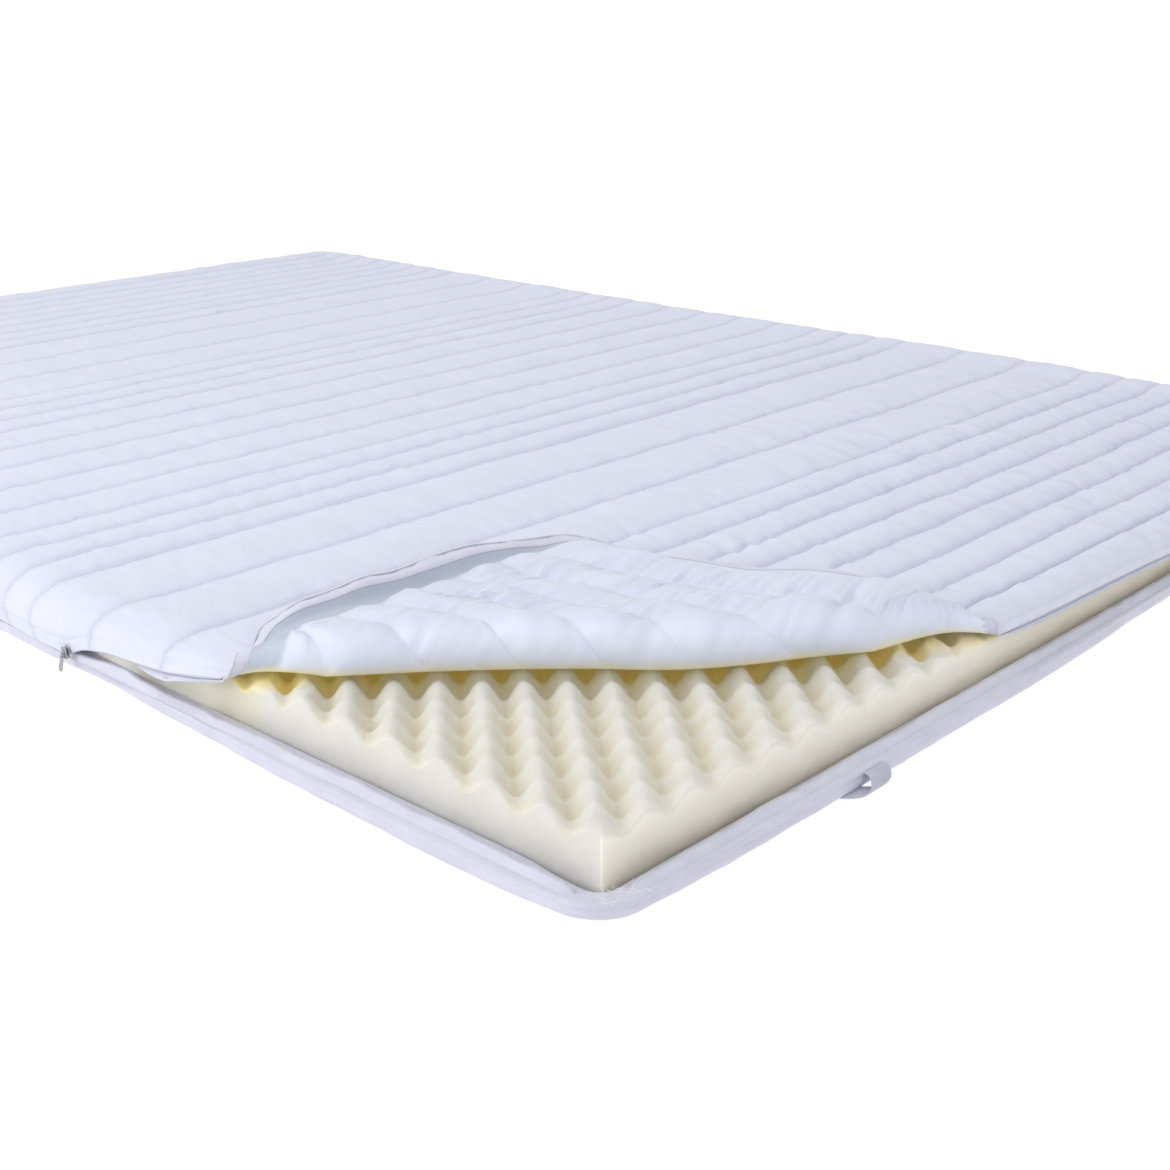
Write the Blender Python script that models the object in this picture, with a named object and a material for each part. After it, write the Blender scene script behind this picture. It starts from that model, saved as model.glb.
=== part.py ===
"""Mattress topper lying flat: egg-crate foam in a quilted zip cover, one corner folded back.

Metres, +Z up. Shapes are worked out in the topper's own plan, whose zero is the near corner of
the footprint: X runs along the near short side and Y along the left long side. An empty carries
that plan, so that the world's origin is under the middle of the topper.
"""

import math

import bmesh
import bpy
from mathutils import Vector
from mathutils.kdtree import KDTree

# Footprint and stack of layers
WIDTH = 1.40
LENGTH = 2.00
GAP = 0.0003
SNAP = 0.00002
TRAY_SHEET = 0.0015
FOAM_BOTTOM = TRAY_SHEET + GAP
FOAM_TOP = 0.052
FOAM_VALLEY = 0.030
LINING = 0.001
PANEL_BACK = FOAM_TOP + GAP + LINING + GAP
SEAM_THICK = 0.0045
CROWN_THICK = 0.0105
RIM_THICK = 0.003
RIM_FADE = 0.022
RIM_LINE = 0.014
BACK_PUFF = 0.0035

# Quilting of the upper panel: (number of channels, width), from the near end to the far end
NARROW = 0.0485
WIDE = 0.0957
MIDDLE = (LENGTH - 22 * NARROW - 6 * WIDE) / 5
ZONES = [(8, NARROW), (3, WIDE), (3, NARROW), (5, MIDDLE), (3, NARROW), (3, WIDE), (8, NARROW)]
CHANNEL_STEPS = 3

# Panel: how far its cut edge passes the footprint, and the width of its rolled sides
EDGE = 0.023
ROLL = 0.045
ROLL_STEPS = 4
NEAR_CORNER = 0.040
FAR_CORNER = ROLL + EDGE
CORNER_STEPS = 5
HEM_Z = 0.0138
HEM_INSET = 0.0030
LINING_INSET = 0.017
TALL = 0.010

# Hem of the panel on the left long side: (y, hem's x, hem's z)
LEFT_HEM = [
    (0.36, 0.020, 0.0500),
    (0.40, 0.018, 0.0490),
    (0.44, 0.011, 0.0430),
    (0.48, 0.009, 0.0350),
    (0.52, 0.007, 0.0300),
    (0.56, 0.004, 0.0255),
    (0.61, 0.004, 0.0185),
    (0.66, 0.007, HEM_Z),
    (0.76, 0.011, HEM_Z),
    (0.92, 0.007, HEM_Z),
    (1.10, HEM_INSET, HEM_Z),
    (2.00, HEM_INSET, HEM_Z),
]
# Hem on the near short side: (x, hem's y, hem's z)
NEAR_HEM = [
    (0.46, 0.019, 0.0490),
    (0.52, 0.018, 0.0455),
    (0.60, 0.015, 0.0435),
    (0.70, 0.013, 0.0425),
    (0.80, 0.0110, 0.0405),
    (0.90, 0.0075, 0.0370),
    (1.00, 0.0040, 0.0310),
    (1.10, HEM_INSET, 0.0220),
    (1.20, HEM_INSET, HEM_Z),
    (1.40, HEM_INSET, HEM_Z),
]
# Where the closed sides of the cover stand in or out of the footprint: (y, shift inwards)
LEFT_SHIFT = [(0.44, 0.0), (0.60, 0.001), (0.76, 0.0075), (0.92, 0.0035), (1.10, 0.0), (2.0, 0.0)]
RIGHT_SHIFT = [(0.0, 0.0), (0.25, -0.007), (0.60, -0.016), (1.00, -0.005), (1.30, 0.0), (2.0, 0.0)]

# Folded corner, in the directions along and across the diagonal from the near corner:
# (across, fold's distance along the diagonal, further reach of the flap's edge)
FOLD = [
    (-0.40, 0.370, 0.000),
    (-0.32, 0.349, 0.000),
    (-0.25, 0.328, 0.020),
    (-0.17, 0.307, 0.030),
    (-0.09, 0.294, 0.008),
    (0.00, 0.275, 0.000),
    (0.06, 0.277, 0.000),
    (0.12, 0.287, 0.000),
    (0.20, 0.286, 0.006),
    (0.30, 0.294, 0.000),
]
FOLD_START = 0.30
FOLD_RADIUS = 0.019
FOLD_MID = FOLD_RADIUS - CROWN_THICK / 2
FOLD_STEPS = 6
FOLD_LENGTH = math.pi * FOLD_MID
# The flap sinks from the fold's top to rest on the panel: (distance past the fold, share)
FLAP_SINK = [(0.0, 0.0), (0.035, 0.32), (0.080, 0.78), (0.135, 1.0)]
FLAP_REST = 2 * CROWN_THICK + 0.002
FLAP_REACH = 0.25
SLOPE_STEP = 0.002
STRAY = 0.004
REGION_X = 0.70
REGION_LINES = (0.09, 0.20, 0.32, 0.44, 0.56)
# Extra lines across the rolled sides, where the hem rises and falls
LEFT_LINES = (0.45, 0.48, 0.51, 0.54, 0.57, 0.60, 0.63, 0.66, 0.70, 0.76, 0.84)
NEAR_LINES = (0.62, 0.70, 0.80, 0.85, 0.90, 0.95, 1.00, 1.05, 1.10, 1.15, 1.20, 1.30)
SIDE_WIDTH = ROLL + 0.021

# Foam slab: its inset on the closed sides and at the near corner, and the egg-crate's periods
FOAM_INSET = 0.028
FOAM_FRONT = [(0.0, 0.027), (0.5, 0.024), (1.2, 0.024), (1.4, 0.028)]
FRONT_FADE = 0.2
CRATE_X = 0.045
CRATE_Y = 0.050
CRATE_CELLS = 4
CRATE_COUNT_X = 11
CRATE_COUNT_Y = 9
CRATE_PAST_FOLD = 0.05
SHOULDER_LINES = (0.012, 0.026, 0.040)
CLEARANCE = 0.0045
SHOULDER_START = 0.012
SHOULDER_FADE = 0.03
BARE_START = 0.004
BARE_FADE = 0.03

# Lower panel's turned-up border: (inset from the footprint, height), outside, then inside
BORDER_OUTER = [(0.010, 0.0), (0.0035, 0.0006), (0.0006, 0.003), (0.0, 0.0065), (0.0008, 0.0118)]
BORDER_INNER = [(0.0034, 0.0122), (0.0038, 0.0060), (0.0100, TRAY_SHEET)]
BORDER_CORNER = 0.038
BORDER_PITCH = 0.1

# Zip: stretch of the tapes, their section (distance in from the edge, height or depth)
ZIP_LEFT_END = 0.70
ZIP_RIGHT_END = 1.30
LOWER_TAPE = [
    (0.0052, 0.0066),
    (0.0052, 0.0188),
    (0.0048, 0.0188),
    (0.0048, 0.0214),
    (0.0074, 0.0214),
    (0.0074, 0.0188),
    (0.0063, 0.0188),
    (0.0063, 0.0066),
]
UPPER_TAPE = [
    (0.0110, -0.0013),
    (-0.0030, -0.0013),
    (-0.0030, -0.0006),
    (-0.0060, -0.0006),
    (-0.0060, -0.0032),
    (-0.0030, -0.0032),
    (-0.0030, -0.0023),
    (0.0110, -0.0023),
]
TAPE_TUCK = 0.0155
TAPE_SINK = 0.0017
TAPE_SINK_EARLY = 0.05
TAPE_PITCH = 0.02
SLIDER_Y = 0.612
SLIDER_WIDE = 0.0084
SLIDER_TALL = 0.0100
SLIDER_TAPER = 0.75
SLIDER_THICK = 0.0042
# Half of the pull tab's outline: (half width, distance below its hinge)
PULL_OUTLINE = [(0.0016, 0.0), (0.0026, 0.0130), (0.0014, 0.0155)]
PULL_THICK = 0.0014
PULL_LEAN = 22

# Elastic band sewn at the near border: centre line (x, y, z), width and thickness
BAND = [
    (0.294, 0.0000, 0.0100),
    (0.292, -0.0070, 0.0112),
    (0.288, -0.0130, 0.0100),
    (0.283, -0.0165, 0.0058),
    (0.276, -0.0145, 0.0020),
    (0.268, -0.0080, 0.0012),
    (0.261, 0.0014, 0.0012),
]
BAND_WIDTH = 0.026
BAND_THICK = 0.0012


def clear_scene():
    for old in list(bpy.data.objects):
        bpy.data.objects.remove(old, do_unlink=True)


def read(table, place, column=1):
    """A table's column at a place, on a smooth curve through its rows."""
    rows = [(row[0], row[column]) for row in table]
    if place <= rows[0][0]:
        return rows[0][1]
    if place >= rows[-1][0]:
        return rows[-1][1]
    i = max(k for k in range(len(rows) - 1) if rows[k][0] <= place)
    slopes = []
    for k in (i, i + 1):
        before = rows[max(k - 1, 0)]
        after = rows[min(k + 1, len(rows) - 1)]
        slopes.append((after[1] - before[1]) / (after[0] - before[0]))
    span = rows[i + 1][0] - rows[i][0]
    f = (place - rows[i][0]) / span
    start = (1 + 2 * f) * (1 - f) ** 2 * rows[i][1] + f * (1 - f) ** 2 * span * slopes[0]
    end = f * f * (3 - 2 * f) * rows[i + 1][1] + f * f * (f - 1) * span * slopes[1]
    return start + end


def ease(f):
    f = min(max(f, 0.0), 1.0)
    return f * f * (3 - 2 * f)


# ---------------------------------------------------------------- quilting


def seam_lines():
    """The seams' places along the panel, its two cut edges included."""
    lines = [0.0]
    for count, width in ZONES:
        for _ in range(count):
            lines.append(lines[-1] + width)
    lines[0] = -EDGE
    lines[-1] = LENGTH + EDGE
    return lines


SEAMS = seam_lines()


def channel_lines():
    """Places between the seams where a channel's rounded section has a point."""
    lines = []
    for low, high in zip(SEAMS, SEAMS[1:]):
        lines += [low + (high - low) * k / CHANNEL_STEPS for k in range(1, CHANNEL_STEPS)]
    return lines


def puff(v):
    """Rise of a channel's section at v: 0 on a seam, 1 on the crown."""
    for low, high in zip(SEAMS, SEAMS[1:]):
        if v <= high:
            return max(math.sin(math.pi * min(max((v - low) / (high - low), 0), 1)), 0.0) ** 0.7
    return 0.0


def rim_distance(u, v):
    """Distance from a place on the flat panel to its cut edge."""
    corner = NEAR_CORNER if u < WIDTH / 2 and v < LENGTH / 2 else FAR_CORNER
    across = abs(u - WIDTH / 2) - (WIDTH / 2 + EDGE - corner)
    along = abs(v - LENGTH / 2) - (LENGTH / 2 + EDGE - corner)
    outside = math.hypot(max(across, 0), max(along, 0))
    return corner - outside - min(max(across, along), 0)


def face_height(u, v):
    crown = SEAM_THICK + (CROWN_THICK - SEAM_THICK) * puff(v)
    return RIM_THICK + (crown - RIM_THICK) * ease(rim_distance(u, v) / RIM_FADE)


def back_height(u, v):
    """The panel's back puffs out on the folded corner and lies flat on the foam elsewhere."""
    folded = ease(fold_depth(u, v) / FOLD_LENGTH)
    margin = ease((rim_distance(u, v) - LINING_INSET) / RIM_FADE)
    return -BACK_PUFF * puff(v) * folded * margin


# ---------------------------------------------------------------- fold and drape


def diagonal(u, v):
    """Distances along and across the diagonal that starts at the near corner."""
    return (u + v) / math.sqrt(2), (v - u) / math.sqrt(2)


def fold_depth(u, v):
    """How far a place on the flat panel lies past the fold, towards the near corner."""
    along, across = diagonal(u, v)
    return read(FOLD, across) - along


def left_edge(s):
    return -EDGE, s


def near_edge(s):
    return s, -EDGE


def fold_crossing(edge_point, depth):
    """Distance along a cut edge, from the near corner, at which it lies so deep past the fold."""
    low, high = 0.1, REGION_X
    for _ in range(40):
        middle = (low + high) / 2
        if fold_depth(*edge_point(middle)) > depth:
            low = middle
        else:
            high = middle
    return low


def fold_lean(u, v):
    """How far the fold's line runs back along a cut edge for each step in from that edge."""
    across = diagonal(u, v)[1]
    slope = (read(FOLD, across + SLOPE_STEP) - read(FOLD, across - SLOPE_STEP)) / (2 * SLOPE_STEP)
    lean = (1 - slope) / (1 + slope)
    return lean if across < 0 else 1 / lean


def fold(u, v, w):
    """Carry a place on the flat panel, w above its back, round the fold and onto the flap."""
    depth = fold_depth(u, v)
    if depth <= 0:
        return u, v, w
    along, across = diagonal(u, v)
    line = along + depth
    radius = FOLD_RADIUS - w
    turn = depth / FOLD_MID
    if turn <= math.pi:
        along = line - radius * math.sin(turn)
        z = FOLD_RADIUS - radius * math.cos(turn)
    else:
        over = depth - FOLD_LENGTH
        along = line + over + min(over / FLAP_REACH, 1) * read(FOLD, across, 2)
        z = FOLD_RADIUS * 2 - w - (FOLD_RADIUS * 2 - FLAP_REST) * sunk(over)
    return (along - across) / math.sqrt(2), (along + across) / math.sqrt(2), z


def sunk(over):
    for (low, a), (high, b) in zip(FLAP_SINK, FLAP_SINK[1:]):
        if over <= high:
            return a + (b - a) * (over - low) / (high - low)
    return 1.0


def core_lines(x, y):
    """Where the flat middle of the cover ends: left, near, right and far."""
    low_x = read(LEFT_HEM, y) + ROLL
    low_y = read(NEAR_HEM, x) + ROLL
    high_x = WIDTH - read(RIGHT_SHIFT, y) - ROLL - HEM_INSET
    return low_x, low_y, high_x, LENGTH - ROLL - HEM_INSET


def side_curve(s, drop):
    """A rolled side's section at share s of its width: out, down, and the slope of both.

    A quadratic curve, level at the start. It ends upright on a closed side, and slopes
    gently where the hem has hardly dropped.
    """
    bow = min(0.2 + drop / 0.045, 1.0)
    t = min(s, 1.0)
    slope_out = 2 * ROLL * ((1 - 2 * t) * bow + t)
    slope_down = 2 * drop * t
    out = ROLL * (2 * t * (1 - t) * bow + t * t) + slope_out * (s - t)
    return out, drop * t * t + slope_down * (s - t), slope_out, slope_down


def side_share(out, drop):
    """The share s at which a rolled side has come so far out."""
    bow = min(0.2 + drop / 0.045, 1.0)
    bend = 1 - 2 * bow
    if abs(bend) < 1e-6:
        return out / (2 * bow * ROLL)
    return (math.sqrt(max(bow * bow + bend * out / ROLL, 0)) - bow) / bend


def drape(x, y, height):
    """Bend the cover down over the foam's sides. Height is measured above the foam."""
    low_x, low_y, high_x, high_y = core_lines(x, y)
    core_x = min(max(x, low_x), high_x)
    core_y = min(max(y, low_y), high_y)
    past_x, past_y = x - core_x, y - core_y
    past = math.hypot(past_x, past_y)
    if past < 1e-9:
        return x, y, PANEL_BACK + height
    span_x = low_x + EDGE if past_x < 0 else WIDTH + EDGE - high_x
    span_y = low_y + EDGE if past_y < 0 else LENGTH + EDGE - high_y
    hem_x = read(LEFT_HEM, y, 2) if past_x < 0 else HEM_Z
    hem_y = read(NEAR_HEM, x, 2) if past_y < 0 else HEM_Z
    share = (past_x / past) ** 2
    s = past / (share * span_x + (1 - share) * span_y)
    drop = PANEL_BACK - (share * hem_x + (1 - share) * hem_y)
    out, down, slope_out, slope_down = side_curve(s, drop)
    tilt = math.atan2(slope_down, slope_out)
    tilt /= 1 + max(height - CROWN_THICK, 0) / TALL
    out += height * math.sin(tilt)
    z = PANEL_BACK - down + height * math.cos(tilt)
    return core_x + past_x / past * out, core_y + past_y / past * out, z


def place(u, v, w):
    return drape(*fold(u, v, w))


# ---------------------------------------------------------------- sheets cut along lines


def rounded_outline():
    """The flat panel's cut edge."""
    points = []
    corners = [
        (-EDGE, -EDGE, NEAR_CORNER, 180),
        (WIDTH + EDGE, -EDGE, FAR_CORNER, 270),
        (WIDTH + EDGE, LENGTH + EDGE, FAR_CORNER, 0),
        (-EDGE, LENGTH + EDGE, FAR_CORNER, 90),
    ]
    for u, v, radius, start in corners:
        centre_u = u + radius * (1 if u < 0 else -1)
        centre_v = v + radius * (1 if v < 0 else -1)
        for k in range(CORNER_STEPS + 1):
            angle = math.radians(start + 90 * k / CORNER_STEPS)
            points.append((centre_u + radius * math.cos(angle), centre_v + radius * math.sin(angle)))
    return points


def flat_sheet(outline):
    bm = bmesh.new()
    bm.faces.new([bm.verts.new((u, v, 0)) for u, v in outline])
    return bm


def cut(bm, point, normal, keep=None):
    faces = [f for f in bm.faces if keep is None or keep(f.calc_center_median())]
    edges = dict.fromkeys(e for f in faces for e in f.edges)
    verts = dict.fromkeys(v for f in faces for v in f.verts)
    geom = list(verts) + list(edges) + faces
    bmesh.ops.bisect_plane(bm, geom=geom, dist=SNAP, plane_co=point, plane_no=normal)


def cut_across(bm, lines, keep=None):
    for v in lines:
        cut(bm, (0, v, 0), (0, 1, 0), keep)


def cut_along(bm, lines, keep=None):
    for u in lines:
        cut(bm, (u, 0, 0), (1, 0, 0), keep)


def straighten(bm, sign):
    """Shift the sheet along the diagonal so that the curved fold is a straight line, or back."""
    for vert in bm.verts:
        across = diagonal(vert.co.x, vert.co.y)[1]
        shift = sign * (FOLD_START - read(FOLD, across)) / math.sqrt(2)
        vert.co.x += shift
        vert.co.y += shift


def true_up(bm, strays, edge_point):
    """Put the ends of the fold's lines, which the straightening moved, back on a cut edge."""
    for vert in bm.verts:
        u, v = vert.co.x, vert.co.y
        if strays(u, v):
            vert.co.xy = edge_point(fold_crossing(edge_point, fold_depth(u, v)))


def cut_fold(bm):
    """Lines round the fold and over the flap, all parallel to the fold's own line."""
    last = FOLD_START - FOLD_LENGTH
    lines = [FOLD_START - FOLD_LENGTH * k / FOLD_STEPS for k in range(FOLD_STEPS + 1)]
    lines += [last - over for over, _ in FLAP_SINK[1:]]
    straighten(bm, 1)
    for along in lines:
        side = along / math.sqrt(2)
        cut(bm, (side, side, 0), (1, 1, 0), in_region)
    straighten(bm, -1)
    true_up(bm, lambda u, v: abs(v + EDGE) < STRAY and 0.1 < u < REGION_X, near_edge)
    true_up(bm, lambda u, v: abs(u + EDGE) < STRAY and 0.1 < v < REGION_X, left_edge)


REGION_Y = SEAMS[10]


def in_region(centre):
    return centre.x < REGION_X and centre.y < REGION_Y


def is_folded(centre):
    return in_region(centre) and fold_depth(centre.x, centre.y) > 0


def is_flat(centre):
    return not is_folded(centre)


def side_lines():
    """Lines along the two long rolled sides."""
    pitch = (ROLL + EDGE) / ROLL_STEPS
    near = [-EDGE + pitch * k for k in range(1, ROLL_STEPS + 1)] + [SIDE_WIDTH]
    return near + [WIDTH - u for u in near]


def cut_common(bm, seams):
    cut_across(bm, seams)
    cut_across(bm, (RIM_LINE - EDGE, LENGTH + EDGE - RIM_LINE))
    cut_along(bm, side_lines())
    cut_along(bm, [REGION_X])
    cut_along(bm, REGION_LINES, in_region)
    cut_along(bm, NEAR_LINES, lambda centre: centre.y < SEAMS[2])
    cut_across(bm, LEFT_LINES, lambda centre: centre.x < SIDE_WIDTH)
    cut_fold(bm)


def cut_face(bm):
    cut_common(bm, SEAMS[1:-1])
    cut_across(bm, channel_lines(), is_flat)


def cut_back(bm):
    ends = channel_lines()[: CHANNEL_STEPS - 1] + channel_lines()[1 - CHANNEL_STEPS :]
    cut_common(bm, SEAMS[1:11] + SEAMS[11:-2:2] + SEAMS[-2:-1] + ends)
    cut_across(bm, channel_lines(), is_folded)


def boundary(bm):
    """The sheet's edge as points in order."""
    edges = [e for e in bm.edges if e.is_boundary]
    vert = edges[0].verts[0]
    loop, used = [], set()
    while True:
        loop.append((vert.co.x, vert.co.y))
        ahead = [e for e in vert.link_edges if e.is_boundary and e not in used]
        if not ahead:
            return loop[:-1] if len(loop) > len(edges) else loop
        used.add(ahead[0])
        vert = ahead[0].other_vert(vert)


def shared_outline(outline, *cutters):
    """The outline with a point wherever any of the cutters meets it."""
    for cutter in cutters:
        bm = flat_sheet(outline)
        cutter(bm)
        outline = boundary(bm)
        bm.free()
    return outline


def cut_flat(outline, cutter):
    """A sheet cut along a cutter's lines."""
    flat = flat_sheet(outline)
    cutter(flat)
    flat.normal_update()
    return flat


def split_by_shape(flat, shape):
    """Split each four-sided face along the diagonal that follows the shape better."""
    for face in [f for f in flat.faces if len(f.verts) == 4]:
        corners = [shape(v.co.x, v.co.y)[2] for v in face.verts]
        centre = face.calc_center_median()
        middle = shape(centre.x, centre.y)[2]
        first = abs((corners[0] + corners[2]) / 2 - middle)
        second = abs((corners[1] + corners[3]) / 2 - middle)
        start = 0 if first <= second else 1
        bmesh.utils.face_split(face, face.verts[start], face.verts[start + 2])


def split_plainly(flat):
    bmesh.ops.triangulate(flat, faces=[f for f in flat.faces if len(f.verts) > 3])


def add_layer(bm, flat, shape, upward):
    """Copy a flat sheet of triangles into bm as a curved layer. Returns its points."""
    made = {v: bm.verts.new(shape(v.co.x, v.co.y)) for v in flat.verts}
    for face in flat.faces:
        corners = [made[v] for v in face.verts]
        bm.faces.new(corners if (face.normal.z > 0) == upward else corners[::-1])
    return made


def points_along(flat, made, outline):
    """A layer's own points at the places of an outline."""
    rim = [v for v in flat.verts if v.is_boundary]
    tree = KDTree(len(rim))
    for k, vert in enumerate(rim):
        tree.insert(vert.co, k)
    tree.balance()
    return [made[rim[tree.find((u, v, 0))[1]]] for u, v in outline]


def layered_solid(outline, top, bottom):
    """A closed solid between two layers, each a flat sheet and a shape, that share an outline."""
    bm = bmesh.new()
    rims = []
    for (flat, shape), upward in ((top, True), (bottom, False)):
        made = add_layer(bm, flat, shape, upward)
        rims.append(points_along(flat, made, outline))
    for k in range(len(outline)):
        n = (k + 1) % len(outline)
        bm.faces.new((rims[0][k], rims[1][k], rims[1][n], rims[0][n]))
    return bm


def thin_solid(flat, upper, lower):
    """A closed solid between two curved copies of one flat sheet."""
    bm = bmesh.new()
    top = add_layer(bm, flat, upper, True)
    bottom = add_layer(bm, flat, lower, False)
    for edge in [e for e in flat.edges if e.is_boundary]:
        a, b = edge.verts
        bm.faces.new((top[a], bottom[a], bottom[b], top[b]))
    return bm


# ---------------------------------------------------------------- objects


def material(name, colour, roughness, metallic=0.0):
    mat = bpy.data.materials.new(name)
    mat.use_nodes = True
    shader = mat.node_tree.nodes["Principled BSDF"]
    shader.inputs["Base Color"].default_value = (*colour, 1)
    shader.inputs["Roughness"].default_value = roughness
    shader.inputs["Metallic"].default_value = metallic
    mat.diffuse_color = (*colour, 1)
    return mat


def finish(name, bm, mat, parent, location=(0, 0, 0)):
    bm.normal_update()
    bmesh.ops.triangulate(bm, faces=[f for f in bm.faces if len(f.verts) > 3])
    bmesh.ops.recalc_face_normals(bm, faces=bm.faces[:])
    mesh = bpy.data.meshes.new(name)
    bm.to_mesh(mesh)
    bm.free()
    mesh.shade_smooth()
    mesh.set_sharp_from_angle(angle=math.radians(50))
    mesh.materials.append(mat)
    obj = bpy.data.objects.new(name, mesh)
    bpy.context.scene.collection.objects.link(obj)
    obj.parent = parent
    obj.location = location
    return obj


def rings_solid(rings):
    """A closed solid through rings of points, with both ends capped."""
    bm = bmesh.new()
    made = [[bm.verts.new(p) for p in ring] for ring in rings]
    for a, b in zip(made, made[1:]):
        for k in range(len(a)):
            n = (k + 1) % len(a)
            bm.faces.new((a[k], a[n], b[n], b[k]))
    bm.faces.new(made[0][::-1])
    bm.faces.new(made[-1])
    return bm


def is_lined(centre):
    """Whether the lining covers a place: all the folded corner, and the flat middle."""
    corner = centre.x < NEAR_LINES[0] and centre.y < LEFT_LINES[0]
    inside = centre.x > LINING_INSET - EDGE and centre.y > RIM_LINE - EDGE
    middle_x = SIDE_WIDTH < centre.x < WIDTH - SIDE_WIDTH
    middle_y = SEAMS[1] < centre.y < SEAMS[-2]
    cut_corner = centre.x < NEAR_CORNER / 2 and centre.y < NEAR_CORNER / 2
    return (corner and inside and not cut_corner) or (middle_x and middle_y)


def cover_meshes():
    """The quilted panel and the lining under it, which follows the panel's back exactly."""
    outline = shared_outline(rounded_outline(), cut_face, cut_back)
    face_flat = cut_flat(outline, cut_face)
    back_flat = cut_flat(outline, cut_back)
    split_plainly(face_flat)
    split_plainly(back_flat)

    def shape(height, lowered=0.0):
        return lambda u, v: place(u, v, height(u, v) - lowered)

    panel = layered_solid(outline, (face_flat, shape(face_height)), (back_flat, shape(back_height)))
    bare = [f for f in back_flat.faces if not is_lined(f.calc_center_median())]
    bmesh.ops.delete(back_flat, geom=bare, context="FACES")
    lining = thin_solid(back_flat, shape(back_height, GAP), shape(back_height, GAP + LINING))
    face_flat.free()
    back_flat.free()
    return panel, lining


# ---------------------------------------------------------------- foam


def foam_limit(x, y):
    """The foam's greatest height under the cover, which clears its edges."""
    low_x, low_y, high_x, high_y = core_lines(x, y)
    past_x = max(low_x - x, x - high_x)
    past_y = max(low_y - y, y - high_y)
    outside = math.hypot(max(past_x, 0), max(past_y, 0))
    past = outside if outside > 0 else max(past_x, past_y)
    hem_x = read(LEFT_HEM, y, 2) if low_x > x else HEM_Z
    hem_z = read(NEAR_HEM, x, 2) if low_y - y >= max(past_x, 0) else hem_x
    share = side_share(min(outside, ROLL), PANEL_BACK - hem_z)
    drop = side_curve(share, PANEL_BACK - hem_z)[1]
    clearance = CLEARANCE * ease((past + SHOULDER_START) / SHOULDER_FADE)
    bare = ease((fold_depth(x, y) - BARE_START) / BARE_FADE)
    return FOAM_TOP - (drop + clearance) * (1 - bare)


def in_crate(centre):
    inside_x = centre.x < FOAM_INSET + CRATE_COUNT_X * CRATE_X
    inside_y = centre.y < FOAM_INSET + CRATE_COUNT_Y * CRATE_Y
    return inside_x and inside_y and fold_depth(centre.x, centre.y) > -CRATE_PAST_FOLD


def crate_height(x, y):
    if not in_crate(Vector((x, y, 0))):
        return FOAM_TOP
    wave_x = math.cos(2 * math.pi * (x - FOAM_INSET) / CRATE_X)
    wave_y = math.cos(2 * math.pi * (y - FOAM_INSET) / CRATE_Y)
    return (FOAM_TOP + FOAM_VALLEY) / 2 + (FOAM_TOP - FOAM_VALLEY) / 2 * wave_x * wave_y


def foam_front(x, y):
    """Move the near face to its true place, less and less inside."""
    fade = 1 - ease((y - FOAM_INSET) / FRONT_FADE)
    return y + (read(FOAM_FRONT, x) - FOAM_INSET) * fade


def foam_surface(x, y):
    return x, foam_front(x, y), min(crate_height(x, y), foam_limit(x, y))


def foam_floor(x, y):
    return x, foam_front(x, y), FOAM_BOTTOM


def cut_foam_top(bm):
    crate_x = [FOAM_INSET + CRATE_X * k / CRATE_CELLS for k in range(1, CRATE_COUNT_X * CRATE_CELLS)]
    crate_y = [FOAM_INSET + CRATE_Y * k / CRATE_CELLS for k in range(1, CRATE_COUNT_Y * CRATE_CELLS)]
    steps = [FOAM_INSET + line for line in SHOULDER_LINES]
    cut_along(bm, [WIDTH - x for x in steps] + [FOAM_INSET + CRATE_COUNT_X * CRATE_X])
    cut_across(bm, [LENGTH - y for y in steps] + [FOAM_INSET + CRATE_COUNT_Y * CRATE_Y])
    cut_along(bm, steps, lambda c: c.y > FOAM_INSET + CRATE_COUNT_Y * CRATE_Y)
    cut_across(bm, steps, lambda c: c.x > FOAM_INSET + CRATE_COUNT_X * CRATE_X)
    cut_along(bm, crate_x[CRATE_CELLS - 1 :: CRATE_CELLS], in_corner)
    cut_across(bm, crate_y[CRATE_CELLS - 1 :: CRATE_CELLS], in_corner)
    cut_along(bm, crate_x, in_crate)
    cut_across(bm, crate_y, in_crate)


def in_corner(centre):
    inside_x = centre.x < FOAM_INSET + CRATE_COUNT_X * CRATE_X
    return inside_x and centre.y < FOAM_INSET + CRATE_COUNT_Y * CRATE_Y


def foam_mesh():
    low, right, far = FOAM_INSET, WIDTH - FOAM_INSET, LENGTH - FOAM_INSET
    rectangle = [(low, low), (right, low), (right, far), (low, far)]
    top = cut_flat(rectangle, cut_foam_top)
    outline = boundary(top)
    bottom = flat_sheet(outline)
    bottom.normal_update()
    split_by_shape(top, foam_surface)
    split_plainly(top)
    split_plainly(bottom)
    bm = layered_solid(outline, (top, foam_surface), (bottom, foam_floor))
    top.free()
    bottom.free()
    return bm


# ---------------------------------------------------------------- lower panel and zip


def corner_stations(x, y, start):
    """Places and outward directions round one corner of the footprint."""
    stations = []
    for k in range(CORNER_STEPS + 1):
        angle = math.radians(start + 90 * k / CORNER_STEPS)
        out = (math.cos(angle), math.sin(angle))
        stations.append((x + BORDER_CORNER * out[0], y + BORDER_CORNER * out[1], out))
    return stations


def pitches(length):
    """Even places along a side, clear of its two corners."""
    return [BORDER_PITCH * k for k in range(1, round(length / BORDER_PITCH))]


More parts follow.
